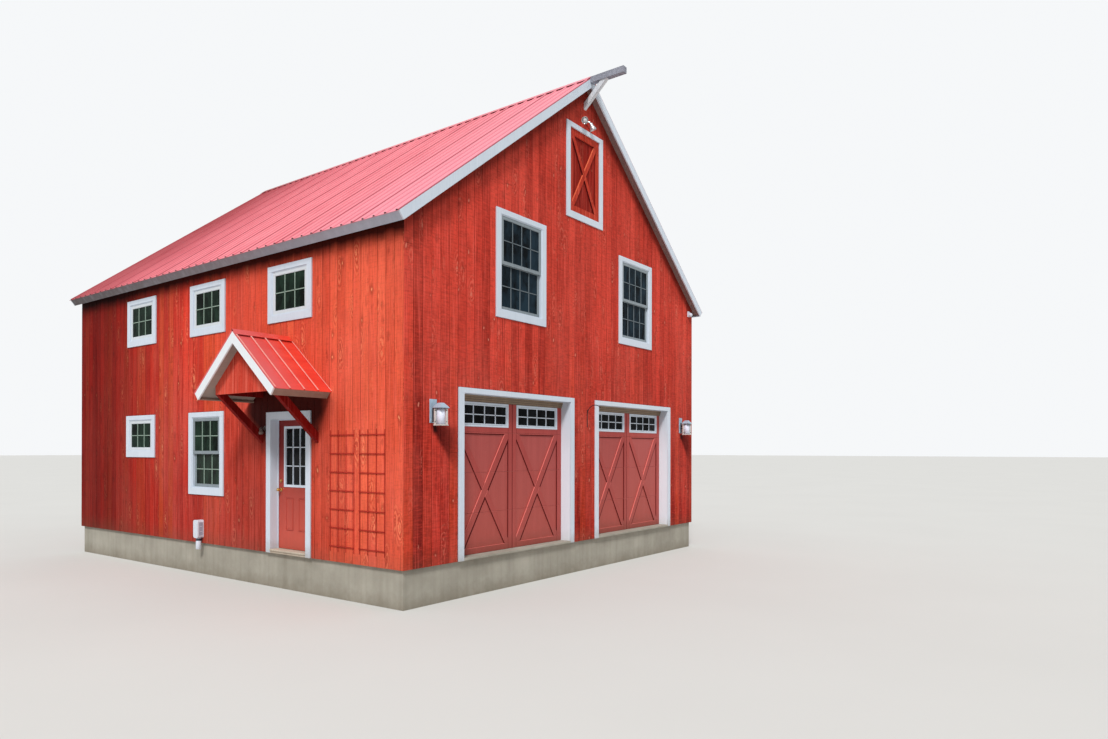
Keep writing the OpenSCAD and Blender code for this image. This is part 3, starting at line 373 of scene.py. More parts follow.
def painted_boards(name, dark, light, across="x", width=BOARD, start=0.0, fades=(), knots=0.5, roughness=0.7,
                   dirt=0.3, seed=0.0, saw=0.25, grain=1.0, edges=0.0, dirt_level=BASE_Z, dirt_colour=(96, 72, 56),
                   knot_colour=(236, 152, 112), warm=None, bleach=None, uneven=0.0, overhang_shade=0.0, hood=0.0,
                   lantern_shadows=0.0, rear=0.0):
    """Painted, weathered boards. fades are (colour, axis number, where none, where full), warm is the colour of a few
    boards, and bleach the colour and strength of sunburnt patches."""
    made, shader, place = new_material(name)
    marks = use_group(BOARD_MARKS, turned(place, across), Board_Width=width, Start=start, Seed=seed)
    weather = use_group(WEATHER, place, Dirt_Level=dirt_level)
    saw_marks = marks["Saw Marks"]
    streaky = add(mul(marks["Tone"], 0.65), mul(ramp(marks["Grain"], 0.32, 0.68), 0.35))
    tint = mix(streaky, dark, light)
    if warm:
        tint = mix(mul(marks["Warmth"], 0.75), tint, warm)
    for end, axis, none, full in fades:
        tint = mix(mul(ramp(axes(place)[axis], none, full), ramp(streaky, 0.1, 0.9, 0.75, 1.0)), tint, end)
    if uneven:
        tint = mix(ramp(marks["Tone"], 0.05, 0.8, uneven, 0), tint, (0.62, 0.5, 0.48, 1), "MULTIPLY")
    tint = coated(tint, [(weather["Blotches"], 0.25 * grain, scaled(dark, 0.85)),
                         (weather["Streaks"], 0.3 * grain, scaled(light, 1.1, 14))])
    if bleach:
        tint = coated(tint, [(weather["Bleached"], bleach[1], bleach[0])])
    tint = coated(tint, [(ramp(marks["Fibres"], 0.62, 0.35), 0.32 * grain, scaled(dark, 0.62)),
                         (ramp(saw_marks, 0.5, 0.72), 0.26 * saw, scaled(light, 1.12, 16)),
                         (ramp(saw_marks, 0.5, 0.28), 0.3 * saw, scaled(dark, 0.7))])
    if knots:
        tint = coated(tint, [(marks["Pale Streaks"], 0.5 * grain, scaled(light, 1.0, 48)),
                             (marks["Cracks"], 0.6 * grain, scaled(dark, 0.45)),
                             (marks["Flames"], 0.5 * knots, knot_colour),
                             (marks["Flame Shadows"], 0.5 * knots, scaled(dark, 0.6)),
                             (marks["Halos"], 0.4 * knots, scaled(dark, 0.5)),
                             (marks["Knots"], knots, knot_colour)])
    if edges:
        tint = coated(tint, [(marks["Worn Edges"], 0.4, scaled(light, 1.05, 44)),
                             (marks["Edges"], edges, scaled(dark, 0.4)),
                             (marks["Butt Joints"], edges, scaled(dark, 0.35)),
                             (marks["Nails"], 0.6, (92, 50, 40))])
    # Painted shade under the roof's overhang.
    if overhang_shade:
        tint = coated(tint, [(weather["Shelter"], overhang_shade, (44, 5, 4))])
    # Painted shade under and round the side door's hood.
    if hood:
        tint = hood_shade(tint, place, weather["Streaks"], hood)
    # Painted shade towards the rear of the wall.
    if rear:
        tint = mix(ramp(axes(place)[1], 5.5, 8.5, 0, rear), tint, (0.30, 0.17, 0.17, 1), "MULTIPLY")
    # Painted shadow of the lanterns.
    if lantern_shadows:
        tint = lantern_shadow(tint, place, lantern_shadows)
    tint = coated(tint, [(weather["Dirt"], dirt, dirt_colour)])
    height = add(mul(marks["Grain"], 1.2), mul(marks["Fibres"], 0.7), mul(saw_marks, saw))
    height = sub(height, add(marks["Knots"], mul(marks["Edges"], 1.5 if edges else 0.0)))
    dress(shader, tint, ramp(marks["Grain"], 0.2, 0.8, roughness - 0.08, roughness + 0.12), height, 0.0016,
          Specular_IOR_Level=0.08 if roughness > 0.55 else 0.25)
    return made


def painted_metal(name, dark, light, roughness=0.4, fades=(), ribs=False):
    """Painted sheet metal with faint run-off streaks. On the ribbed roof it also has lines of painted shade along the
    ribs, a painted shadow at the lap of each fourth one, and painted shade in the hollows of the sheet's lower end."""
    made, shader, place = new_material(name)
    x, y, z = axes(place)
    weather = use_group(WEATHER, place, Dirt_Level=4.6, Dirt_Height=0.5)
    fine = streaks_of(place, (1.2, 16, 1.2), 4.0)
    tint = mix(ramp(fine, 0.3, 0.7), dark, light)
    for painted_light_tint, axis, none, full in fades:
        tint = mix(ramp((x, y, z)[axis], none, full), tint, painted_light_tint)
    tint = coated(tint, [(weather["Blotches"], 0.12, scaled(light, 1.04))])
    if ribs:
        def off_middle(start, pitch):
            """How far a place is from the middle of its strip, where the strips are one pitch wide."""
            return mul(gap(maths("FRACT", div(sub(y, start), pitch)), 0.5), pitch)

        foot = 0.025
        rib_shade = gap(off_middle(RIB_START - RIB_PITCH / 2, RIB_PITCH), foot)
        lap = off_middle(RIB_START - foot - 2 * RIB_PITCH, 4 * RIB_PITCH)
        # Painted shade beside each rib, and painted shadow along each lap.
        tint = mix(near(rib_shade, 0.003, 0.01, 0.34), tint, scaled(dark, 0.55))
        tint = mix(near(lap, 0.006, 0.011, 0.75), tint, (150, 46, 60))
        # Painted shade in the open ends of the ribs at the sheet's lower end.
        aside, fall = maths("ABSOLUTE", x), sub(PEAK_Z, z)
        along = add(mul(aside, math.cos(PITCH)), mul(fall, math.sin(PITCH)))
        over = sub(mul(aside, math.sin(PITCH)), mul(fall, math.cos(PITCH)))
        end = SLOPE_L + SHEET_LIP
        tint = mix(mul(ramp(along, end - 0.006, end - 0.004), ramp(over, 0.006, 0.008)), tint, (44, 18, 18))
    tint = coated(tint, [(weather["Dirt"], 0.1, (120, 84, 76))])
    dress(shader, tint, ramp(fine, 0.2, 0.8, roughness - 0.07, roughness + 0.1), noise(place, 3.0, 2.0), 0.003, 0.3,
          Specular_IOR_Level=0.35)
    return made


def plain_finish(name, tint, roughness, metal=0.0, variation=0.08, scale=18.0):
    """A finish with slight mottling, for metal fittings and plastic."""
    made, shader, place = new_material(name)
    mottle = noise(place, scale, 5.0, 0.65)
    tint = mix(ramp(mottle, 0.3, 0.7), scaled(tint, 1 - variation), scaled(tint, 1 + variation))
    dress(shader, tint, ramp(mottle, 0.2, 0.8, max(0.05, roughness - 0.1), roughness + 0.1), mottle, 0.0006,
          Metallic=metal)
    return made


def concrete(name):
    made, shader, place = new_material(name)
    weather = use_group(WEATHER, place, Dirt_Level=0.0, Dirt_Height=0.25)
    broad, grit = noise(place, 1.6, 6.0, 0.6), noise(place, 60.0, 3.0, 0.7)
    tint = mix(ramp(broad, 0.3, 0.7), (150, 145, 132), (176, 171, 158))
    tint = coated(tint, [(weather["Streaks"], 0.3, (128, 122, 108)), (weather["Dirt"], 0.45, (104, 88, 68))])
    dress(shader, tint, ramp(grit, 0.3, 0.7, 0.75, 0.95), add(grit, broad), 0.002)
    return made


def window_glass(name, tint):
    """Clear glass with a faint waviness, dark as painted shade of the unlit rooms behind it, and with broad lighter
    and darker patches of painted reflection.
    """
    made, shader, place = new_material(name)
    broad = streaks_of(place, (4, 4, 2.2), 4.0, 0.65)
    tint = mix(ramp(broad, 0.36, 0.64), scaled(tint, 0.45), scaled(tint, 1.55))
    dress(shader, tint, ramp(broad, 0.2, 0.8, 0.02, 0.07), noise(place, 1.6, 1.0), 0.0006, 0.25,
          Transmission_Weight=0.15, IOR=1.3, Specular_IOR_Level=0.12)
    return made


def even_paint(name, dark, light, grain, dirt=0, across="x", width=5.0, **more):
    """Paint without knots or saw marks."""
    return painted_boards(name, dark, light, across, width, knots=0, saw=0, grain=grain, dirt=dirt, **more)


# The siding's shade settings below, under the overhang, hood, rear and lanterns, are strengths of painted shade.
RED_FRONT = painted_boards(
    "front siding", (124, 20, 16), (214, 56, 42), start=-HALF_W, seed=3.0, edges=0.45, saw=0.9, knots=0.7,
    fades=[((240, 84, 66), 2, 1.6, 4.4)], warm=(220, 76, 42), bleach=((222, 98, 82), 0.55), uneven=0.8, overhang_shade=0.6,
    lantern_shadows=0.9, knot_colour=(236, 142, 118))
# The left siding's fade, brighter towards the near corner, is painted light.
RED_LEFT = painted_boards(
    "left siding", (184, 32, 24), (250, 64, 44), "y", start=FRONT_Y, seed=11.0, edges=0.42, saw=0.6, knots=0.95,
    fades=[((255, 112, 78), 1, 5.9, 0.9)], warm=(242, 96, 50), bleach=((242, 116, 96), 0.5), uneven=0.25,
    overhang_shade=0.95, hood=0.95, rear=0.95, knot_colour=(246, 158, 112))
RED_BACK, RED_RIGHT = (
    painted_boards(name, (138, 26, 18), (204, 58, 40), across, start=start, seed=seed, edges=0.5, saw=0.9,
                   warm=(214, 76, 42), bleach=(pale, 0.45), uneven=0.5, overhang_shade=overhang_shade)
    for name, across, start, seed, pale, overhang_shade in (
        ("back siding", "x", -HALF_W, 41.0, (218, 96, 76), 0.65),
        ("right siding", "y", FRONT_Y, 23.0, (222, 98, 76), 0.95)))
RED_JOINT = painted_boards("board joints and inner lining", (70, 14, 10), (90, 22, 16), knots=0)
RED_WOOD = painted_boards("red framing boards", (176, 46, 32), (212, 74, 52), width=0.4, knots=0.2)
# A painted highlight on the loft door's upper board edges.
RED_HIGHLIGHT = even_paint("upper red edges", (226, 98, 66), (244, 128, 90), 0.4)
# The loft door's recessed boards are darker than its frame: painted shade.
RED_FIELD_SHADED = painted_boards("loft door boards", (128, 24, 18), (170, 42, 30), width=0.09, knots=0.4, edges=0.6)
RED_BRACE = painted_boards("hood braces", (112, 10, 8), (142, 20, 15), width=0.5, knots=0.1)
# The hood gable boards darken towards the top, under the hood's roof: painted shade.
RED_PANEL = painted_boards(
    "hood gable boards", (204, 58, 42), (236, 92, 72), "y", 0.51, DOOR_U + FRONT_Y - 0.765, knots=0.15, edges=0.45,
    fades=[((150, 28, 20), 2, BASE_Z + 2.75, BASE_Z + 3.3)])
RED_TRELLIS = painted_boards("trellis paint", (162, 40, 32), (190, 56, 44), width=0.5, knots=0)
ROSE, ROSE_BOARD = (
    even_paint(name, dark, light, 0.35, 0.35, width=0.9, roughness=0.5, fades=[(low, 2, 2.3, 0.8)], dirt_level=0.58)
    for name, dark, light, low in (("garage door paint", (168, 74, 70), (190, 92, 87), (184, 86, 76)),
                                   ("garage door boards", (164, 64, 60), (188, 82, 76), (182, 84, 76))))
# The side door is darker at the top, painted shade under the hood, and lighter towards its foot, painted light.
DOOR_ROSE = even_paint("side door paint", (122, 30, 28), (142, 40, 36), 0.3, 0.2, width=3.0, roughness=0.42,
                       fades=[((222, 98, 80), 2, 2.3, 0.8)])
# A lighter red for the door's raised mouldings: a painted highlight.
DOOR_HIGHLIGHT = even_paint("side door moulding", (174, 64, 54), (194, 80, 68), 0.3, 0.2, width=3.0, roughness=0.42)
# Lit and shaded copies of the paint: painted highlight on upper board edges, painted shade beside and under boards.
ROSE_HIGHLIGHT = even_paint("upper board edges", (222, 112, 104), (240, 136, 126), 0.4, 0.2)
BOARD_SHADE = even_paint("board gaps", (84, 16, 20), (108, 24, 26), 0.4, 0.2)
SOFFIT = even_paint("hood soffit", (158, 146, 138), (180, 168, 158), 0.3, across="z", width=0.3)
WHITE = even_paint("white trim", (206, 217, 230), (226, 234, 244), 0.25, 0.6, roughness=0.5, dirt_level=0.5,
                   dirt_colour=(150, 138, 118))
# A paler copy of the white trim for the hood's rake boards: painted sunlight.
SUNLIT_WHITE = even_paint("bright trim", (232, 236, 240), (244, 246, 248), 0.15, roughness=0.5)
# The jambs are paler than the other white trim, a painted light, and darker towards the head, a painted shade.
JAMB_LIGHT_AND_SHADE = even_paint("garage jambs", (228, 238, 250), (240, 247, 254), 0.15, 0.3, roughness=0.5,
                  fades=[((198, 204, 214), 2, 2.1, 3.0)], dirt_level=0.5, dirt_colour=(190, 180, 156))
TAN = even_paint("door stops", (134, 116, 98), (162, 142, 122), 0.5, 0.3)
SILL = even_paint("door sill", (210, 196, 176), (234, 222, 204), 0.6, 0.3)
# The eave boards darken towards the rear: painted shade.
EAVE = even_paint("eave boards", (164, 170, 184), (188, 194, 208), 0.5, across="z", width=0.5,
                  fades=[((140, 130, 134), 1, 0.6, 4.4), ((98, 92, 90), 1, 4.5, 9.9)])
HOOD_EAVE = even_paint("hood eave boards", (142, 118, 106), (166, 142, 128), 0.6, across="z", width=0.5)
# Also the painted shade in the grooves of the garage window surrounds.
GREY_SASH_AND_SHADE = even_paint("grey sash paint", (128, 138, 144), (164, 174, 180), 0.3, 0.1)
SASH_WHITE = even_paint("white sash paint", (206, 213, 219), (226, 232, 236), 0.2, 0.1)
BAR_GREY = even_paint("grey window bar paint", (100, 110, 116), (134, 144, 150), 0.2)
BAR_GREEN = even_paint("window bar paint", (142, 164, 150), (176, 194, 182), 0.2)
SILVERED = painted_boards("weathered beam", (126, 128, 138), (172, 174, 188), "z", 0.05, knots=0.3, roughness=0.8,
                          dirt=0, knot_colour=(92, 84, 76))
PALE_TIMBER = painted_boards("pale brace", (210, 214, 222), (242, 245, 250), width=0.05, knots=0.3, roughness=0.8,
                             dirt=0, knot_colour=(120, 104, 90))
DECK = painted_boards("deck underside", (134, 106, 102), (160, 132, 126), "slope", 0.14, knots=0.2, roughness=0.75,
                      dirt=0, grain=0.6, edges=0.3, knot_colour=(88, 66, 52))
FLOOR = painted_boards("floor boards", (136, 104, 72), (168, 134, 96), width=0.14, roughness=0.6, dirt=0,
                       edges=0.6, knot_colour=(96, 66, 40))
CONCRETE = concrete("cast concrete")
# The roof's fades are painted light and shade: darker towards the rear, paler towards the front.
ROOF = painted_metal(
    "roof sheet", (226, 116, 128), (246, 142, 152), ribs=True,
    fades=[((180, 54, 64), 1, 4.6, 11.0), ((150, 40, 46), 1, 7.2, 10.4), ((240, 152, 168), 1, 2.4, -1.2)])
# The hood sheet's fade, paler towards its outer end, is painted light.
HOOD = painted_metal("hood sheet", (224, 56, 42), (242, 76, 56), 0.35, fades=[((222, 102, 104), 0, -4.6, -5.3)])
# A painted highlight on the hood's standing seams.
SEAM_HIGHLIGHT = painted_metal("hood seams", (242, 160, 150), (252, 184, 174), 0.3)
GLASS = window_glass("window glass", (24, 36, 44))
# The side windows' green tint is painted reflection.
GREEN_REFLECTING_GLASS = window_glass("side window glass", (24, 38, 30))
DOOR_GLASS = window_glass("garage door glass", (18, 20, 22))
BRASS = plain_finish("brass", (206, 166, 104), 0.28, 1.0)
LAMP = plain_finish("lamp metal", (172, 194, 212), 0.4, 0.2)
LAMP_POST = plain_finish("lantern posts", (204, 198, 194), 0.5)
LAMP_FRAME_AND_SHADE = plain_finish("lantern frame", (92, 98, 104), 0.45, 0.3)
# The porch lamp's metal and glass are darkened: painted shade.
PORCH_METAL_SHADED = plain_finish("porch lamp metal", (84, 72, 68), 0.4, 0.3)
PORCH_GLASS_SHADED = plain_finish("porch lamp glass", (118, 92, 84), 0.3, 0, 0.05)
SILVER = plain_finish("silver lamp metal", (206, 210, 210), 0.25, 0.7, 0.05)
LENS = plain_finish("lamp lens", (226, 228, 232), 0.3, 0, 0.2, 40.0)
IRON_AND_SHADE = plain_finish("dark iron", (50, 34, 32), 0.55, 0.3)
PLASTIC = plain_finish("white plastic", (214, 220, 232), 0.42, 0, 0.03)
GREY_PLASTIC = plain_finish("grey plastic", (158, 164, 180), 0.5, 0, 0.05)
FROSTED = plain_finish("frosted glass", (226, 230, 246), 0.5, 0, 0.03, 30.0)
DARK = plain_finish("dark strap", (48, 50, 66), 0.6)
# Painted shade at the foot of each step of the garage doors' weather stop.
STOP_SHADE = plain_finish("door seal", (70, 58, 50), 0.7)

for finish, names in (
        (CONCRETE, "foundation_wall floor_slab"),
        (FLOOR, "upper_floor loft_floor"),
        (RED_JOINT, "left_wall_front left_wall_rear left_wall_over_door right_wall front_pier_left front_pier_middle "
                    "front_pier_right front_gable_wall back_wall"),
        (DECK, "left_roof_deck right_roof_deck"),
        (SOFFIT, "hood_deck"),
        (ROOF, "left_roof_sheet right_roof_sheet ridge_cap"),
        (WHITE, "rake_boards garage_window_frames garage_door_casings side_door_casing side_door_window_frame "
                "window_casings hood_boards"),
        (EAVE, "eave_boards"),
        (GREY_SASH_AND_SHADE, "window_sashes"),
        (SILVERED, "hoist_beam"),
        (PALE_TIMBER, "hoist_beam_brace"),
        (ROSE, "left_garage_door right_garage_door"),
        (DOOR_ROSE, "side_door"),
        (RED_WOOD, "loft_door"),
        (RED_PANEL, "hood_gable_panel"),
        (RED_BRACE, "hood_braces"),
        (RED_TRELLIS, "trellis_panels"),
        (HOOD, "hood_sheet hood_ridge_cap"),
        (GLASS, "front_wall_glass back_wall_glass"),
        (GREEN_REFLECTING_GLASS, "left_wall_glass right_wall_glass"),
        (DOOR_GLASS, "garage_door_glass side_door_glass"),
        (BRASS, "side_door_hardware side_door_hinge_pins side_door_hinge_leaves"),
        (LAMP, "garage_lanterns porch_lamp floodlights"),
        (PLASTIC, "corner_lamp utility_box"),
        (IRON_AND_SHADE, "plant_hook")):
    for name in names.split():
        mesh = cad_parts[name].data
        mesh.materials.clear()
        mesh.materials.append(finish)


# Making pieces

def finished(name, shape, materials, replaced=(), body="barn"):
    """The bmesh as a piece at the origin, with its normals outward, riding on its body."""
    bmesh.ops.recalc_face_normals(shape, faces=shape.faces)
    mesh = bpy.data.meshes.new(name)
    shape.to_mesh(mesh)
    shape.free()
    for material in materials:
        mesh.materials.append(material)
    piece = bpy.data.objects.new(name, mesh)
    scene.collection.objects.link(piece)
    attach(piece, body)
    if replaced:
        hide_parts(*replaced)


def gathered(meshes):
    """Several meshes as one bmesh."""
    shape = bmesh.new()
    for mesh in meshes:
        shape.from_mesh(mesh)
    return shape


def plain_mesh(holder, modifier_kind, setup):
    """The plain mesh of an object with a modifier, which setup fills in."""
    scene.collection.objects.link(holder)
    setup(holder.modifiers.new("shape", modifier_kind))
    graph = bpy.context.evaluated_depsgraph_get()
    mesh = bpy.data.meshes.new_from_object(holder.evaluated_get(graph), depsgraph=graph)
    bpy.data.objects.remove(holder)
    return mesh


def geometry_tree(name, inputs, build):
    """A geometry tree with named inputs. What build makes is made real and painted."""
    tree, given = new_tree(name, "GeometryNodeTree", {**inputs, "Material": "Material"})
    real = add_node("GeometryNodeRealizeInstances", {0: build(given)})[0]
    painted = add_node("GeometryNodeSetMaterial", {"Geometry": real, "Material": given["Material"]})[0]
    return close_tree(tree, "Geometry", {"Geometry": painted})


def grow(tree, **values):
    """The plain mesh that a geometry tree makes with these inputs."""
    def setup(modifier):
        modifier.node_group = tree
        for item in tree.interface.items_tree:
            key = item.name.replace(" ", "_")
            if item.item_type == "SOCKET" and item.in_out == "INPUT" and key in values:
                modifier[item.identifier] = values[key]

    mesh = plain_mesh(bpy.data.objects.new(tree.name, bpy.data.meshes.new(tree.name)), "NODES", setup)
    mesh.materials.clear()
    mesh.materials.append(values["Material"])
    mesh.polygons.foreach_set("material_index", [0] * len(mesh.polygons))
    return mesh


def line_of(count, start, step, thing, **more):
    """Copies of a thing along a line."""
    line = add_node("GeometryNodeMeshLine", {"Count": count, "Start Location": start, "Offset": step})[0]
    return add_node("GeometryNodeInstanceOnPoints", {"Points": line, "Instance": thing, **more})[0]


def board_row(given):
    """A row of upright boards, each a little thicker or thinner than the next."""
    spacing, height = given["Spacing"], given["Height"]
    size = vector_of(sub(spacing, given["Gap"]), mul(given["Thickness"], 2.0), height)
    chance = {2: sub(1.0, given["Variation"]), 3: 1.0, "Seed": given["Seed"]}
    thick = add_node("FunctionNodeRandomValue", chance, data_type="FLOAT")[1]
    return line_of(given["Count"], vector_of(mul(spacing, 0.5), 0, mul(height, 0.5)), vector_of(spacing),
                   add_node("GeometryNodeMeshCube", {"Size": size})[0], Scale=vector_of(1.0, thick, 1.0))


def screw_rows(given):
    """Rows of screw heads on a flat sheet."""
    grid = add_node("GeometryNodeMeshGrid", {"Size X": given["Width"], "Size Y": given["Length"],
                                             "Vertices X": given["Across"], "Vertices Y": given["Down"]})[0]
    head = add_node("GeometryNodeMeshCone", {"Vertices": 6, "Radius Top": mul(given["Radius"], 0.7),
                                             "Radius Bottom": given["Radius"], "Depth": given["Height"]})[0]
    return add_node("GeometryNodeInstanceOnPoints", {"Points": grid, "Instance": head})[0]


def bar_grid(given):
    """The bars between the panes of a sash, centred, x across, y through and z up."""
    width, height, bar, depth = (given[name] for name in ("Width", "Height", "Bar", "Depth"))
    sets = []
    for count, size, axis, shape in ((given["Columns"], width, 0, (bar, depth, height)),
                                     (given["Rows"], height, 2, (width, depth, bar))):
        pitch = div(size, count)
        start, step = (vector_of(*(value if i == axis else 0.0 for i in range(3)))
                       for value in (sub(pitch, mul(size, 0.5)), pitch))
        cube = add_node("GeometryNodeMeshCube", {"Size": vector_of(*shape)})[0]
        sets.append(line_of(sub(count, 1.0), start, step, cube))
    join = add_node("GeometryNodeJoinGeometry", {0: sets[0]})[0]
    join.id_data.links.new(sets[1], join.node.inputs[0])
    return join


BOARD_ROW = geometry_tree("row of boards", {
    "Count": 10, "Spacing": 0.175, "Gap": 0.006, "Height": 2.0, "Thickness": 0.006, "Variation": 0.25,
    "Seed": 1}, board_row)
SCREW_ROWS = geometry_tree("rows of screws", {
    "Across": 10, "Down": 5, "Width": 1.0, "Length": 1.0, "Radius": 0.007, "Height": 0.004}, screw_rows)
BAR_GRID = geometry_tree("window bars", {
    "Columns": 3, "Rows": 2, "Width": 0.8, "Height": 0.6, "Bar": 0.02, "Depth": 0.01}, bar_grid)


def moved(matrix, *offset):
    return matrix @ Matrix.Translation(offset)


def spun(matrix, degrees, axis):
    return matrix @ Matrix.Rotation(math.radians(degrees), 4, axis)


def fitting(matrix, *offset):
    """The frame of a fitting on a wall, in millimetres."""
    return moved(matrix, *offset) @ Matrix.Scale(0.001, 4)


def soften(shape, faces, bevel):
    """Soft edges for the faces of one solid."""
    if bevel:
        edges = list({e for f in faces for e in f.edges})
        bmesh.ops.bevel(shape, geom=edges, offset=bevel, segments=1, affect="EDGES", material=-1)


def add_box(shape, low, high, matrix=Matrix(), bevel=0.0, material=0):
    """A box with soft edges between two opposite corners, added to a bmesh."""
    low, high = (Vector([pick(pair) for pair in zip(low, high)]) for pick in (min, max))
    place = moved(matrix, *((low + high) / 2)) @ Matrix.Diagonal((*(high - low), 1))
    made = bmesh.ops.create_cube(shape, size=1.0, matrix=place)
    faces = {f for v in made["verts"] for f in v.link_faces}
    for face in faces:
        face.material_index = material
    soften(shape, faces, bevel * matrix.median_scale)


def add_boxes(shape, matrix, *rows):
    """Boxes from rows of (low corner, high corner, bevel, material), of which the last two can be left out."""
    for low, high, *finish in rows:
        add_box(shape, low, high, matrix, *finish)


def skin(shape, rings, material=0, smooth=False, capped=True):
    """Faces from each ring of points to the next, and over the first and the last one. The faces are returned."""
    rings = [[shape.verts.new(point) for point in ring] for ring in rings]
    faces = [shape.faces.new(rings[0][::-1]), shape.faces.new(rings[-1])] if capped else []
    for low, high in zip(rings, rings[1:]):
        count = max(len(low), len(high))
        for k in range(count):
            after = (k + 1) % count
            corners = [low[k % len(low)], low[after % len(low)], high[after % len(high)], high[k % len(high)]]
            face = shape.faces.new(list(dict.fromkeys(corners)))
            face.smooth = smooth
            faces.append(face)
    for face in faces:
        face.material_index = material
    return faces


def prism(shape, outline, y0, y1, matrix=Matrix(), bevel=0.0, material=0, edges=None):
    """A flat outline in x and z, thickened from y0 to y1. edges has the materials of its upper and other edges: a
    painted highlight and painted shade.
    """
    rings = [[matrix @ Vector((x, y, z)) for x, z in outline] for y in (y0, y1)]
    faces = skin(shape, rings, material)
    if edges:
        middle = sum(rings[0] + rings[1], Vector()) / len(rings[0] + rings[1])
        for face in faces[2:]:
            face.normal_update()
            outward = face.normal if face.normal.dot(face.calc_center_median() - middle) > 0 else -face.normal
            face.material_index = edges[0] if outward.z > 0.3 else edges[1]
    soften(shape, faces, bevel * matrix.median_scale)


def turned_form(shape, profile, matrix, material=0, steps=24):
    """A form turned round the z axis from a profile of (radius, height) points that starts and ends on the axis."""
    turns = [2 * math.pi * k / steps for k in range(steps)]
    skin(shape, [[matrix @ Vector((radius * math.cos(a), radius * math.sin(a), height))
                  for a in (turns if radius > 0 else turns[:1])] for radius, height in profile], material, True, False)


def rod(shape, points, radius, matrix, material=0):
    """A round rod along a line of points, with closed ends."""
    points = [Vector(p) for p in points]
    turns = [2 * math.pi * n / 10 for n in range(10)]
    rings, side = [], None
    for k, point in enumerate(points):
        run = (points[min(k + 1, len(points) - 1)] - points[max(k - 1, 0)]).normalized()
        side = side or run.orthogonal()
        side = (side - run * side.dot(run)).normalized()
        other = run.cross(side)
        rings.append([matrix @ (point + radius * (side * math.cos(a) + other * math.sin(a))) for a in turns])
    skin(shape, rings, material, True)


def frustum(shape, half_low, half_high, z0, z1, matrix, material=0):
    """A square block that narrows from its foot to its top."""
    skin(shape, [[matrix @ Vector((x * half, y * half, z)) for x, y in ((-1, -1), (1, -1), (1, 1), (-1, 1))]
                 for half, z in ((half_low, z0), (half_high, z1))], material)


def clip(outline, point, normal):
    """The part of a convex outline on the side of a line that its normal points to."""
    kept = []
    for a, b in zip(outline, outline[1:] + outline[:1]):
        da, db = ((p[0] - point[0]) * normal[0] + (p[1] - point[1]) * normal[1] for p in (a, b))
        if da >= 0:
            kept.append(a)
        if da * db < 0:
            part = da / (da - db)
            kept.append((a[0] + part * (b[0] - a[0]), a[1] + part * (b[1] - a[1])))
    return kept


def rectangle(x0, z0, x1, z1):
    return [(x0, z0), (x1, z0), (x1, z1), (x0, z1)]


def crossed_outlines(x, z, w, h, board):
    """A board from lower left to upper right, and the two halves of the one that it crosses, inside a field."""
    run, rise = w - board, h - board
    size = math.hypot(run, rise)
    pieces = []
    for s in (1, -1):
        along = (run / size, s * rise / size)
        side = (-along[1], along[0])
        corners = [(x + (a * along[0] * (w + h) + b * side[0] * board) / 2,
                    z + (a * along[1] * (w + h) + b * side[1] * board) / 2) for a, b in rectangle(-1, -1, 1, 1)]
        for point, normal in (((x - w / 2, z), (1, 0)), ((x + w / 2, z), (-1, 0)),
                              ((x, z - h / 2), (0, 1)), ((x, z + h / 2), (0, -1))):
            corners = clip(corners, point, normal)
        if s == 1:
            pieces.append(corners)
            across = side
        else:
            for k in (-1, 1):
                normal = (k * across[0], k * across[1])
                reach = board / 2 + 0.001
                pieces.append(clip(corners, (x + normal[0] * reach, z + normal[1] * reach), normal))
    return pieces


def cut(mesh, boxes, outline=None):
    """The mesh with boxes taken out of it, or kept only inside an upright prism over an outline in x and z."""
    shape = bmesh.new()
    add_boxes(shape, Matrix(), *boxes)
    if outline:
        prism(shape, outline, -0.5, 0.5)
        bmesh.ops.recalc_face_normals(shape, faces=shape.faces)
    cutter = bpy.data.meshes.new("cutter")
    shape.to_mesh(cutter)
    shape.free()
    tool = bpy.data.objects.new("cutter", cutter)
    scene.collection.objects.link(tool)

    def setup(modifier):
        modifier.object = tool
        modifier.operation = "INTERSECT" if outline else "DIFFERENCE"
        modifier.solver = "EXACT"

    result = plain_mesh(bpy.data.objects.new("cut", mesh), "BOOLEAN", setup)
    bpy.data.objects.remove(tool)
    return result


FRONT, LEFT = WALLS["front"], WALLS["left"]


def cased(u, z, w, h):
    """An opening with its casing boards and the joint round them."""
    return u, z - SILL_CASING - JOINT, w + 2 * (SIDE_CASING + JOINT), h + SILL_CASING + HEAD_CASING + 2 * JOINT


def doorway(u, w, h, side, head):
    """A doorway with its casing boards and the joint round them, open at the foot."""
    return u, -0.5, w + 2 * (side + JOINT), h + 0.5 + head + JOINT


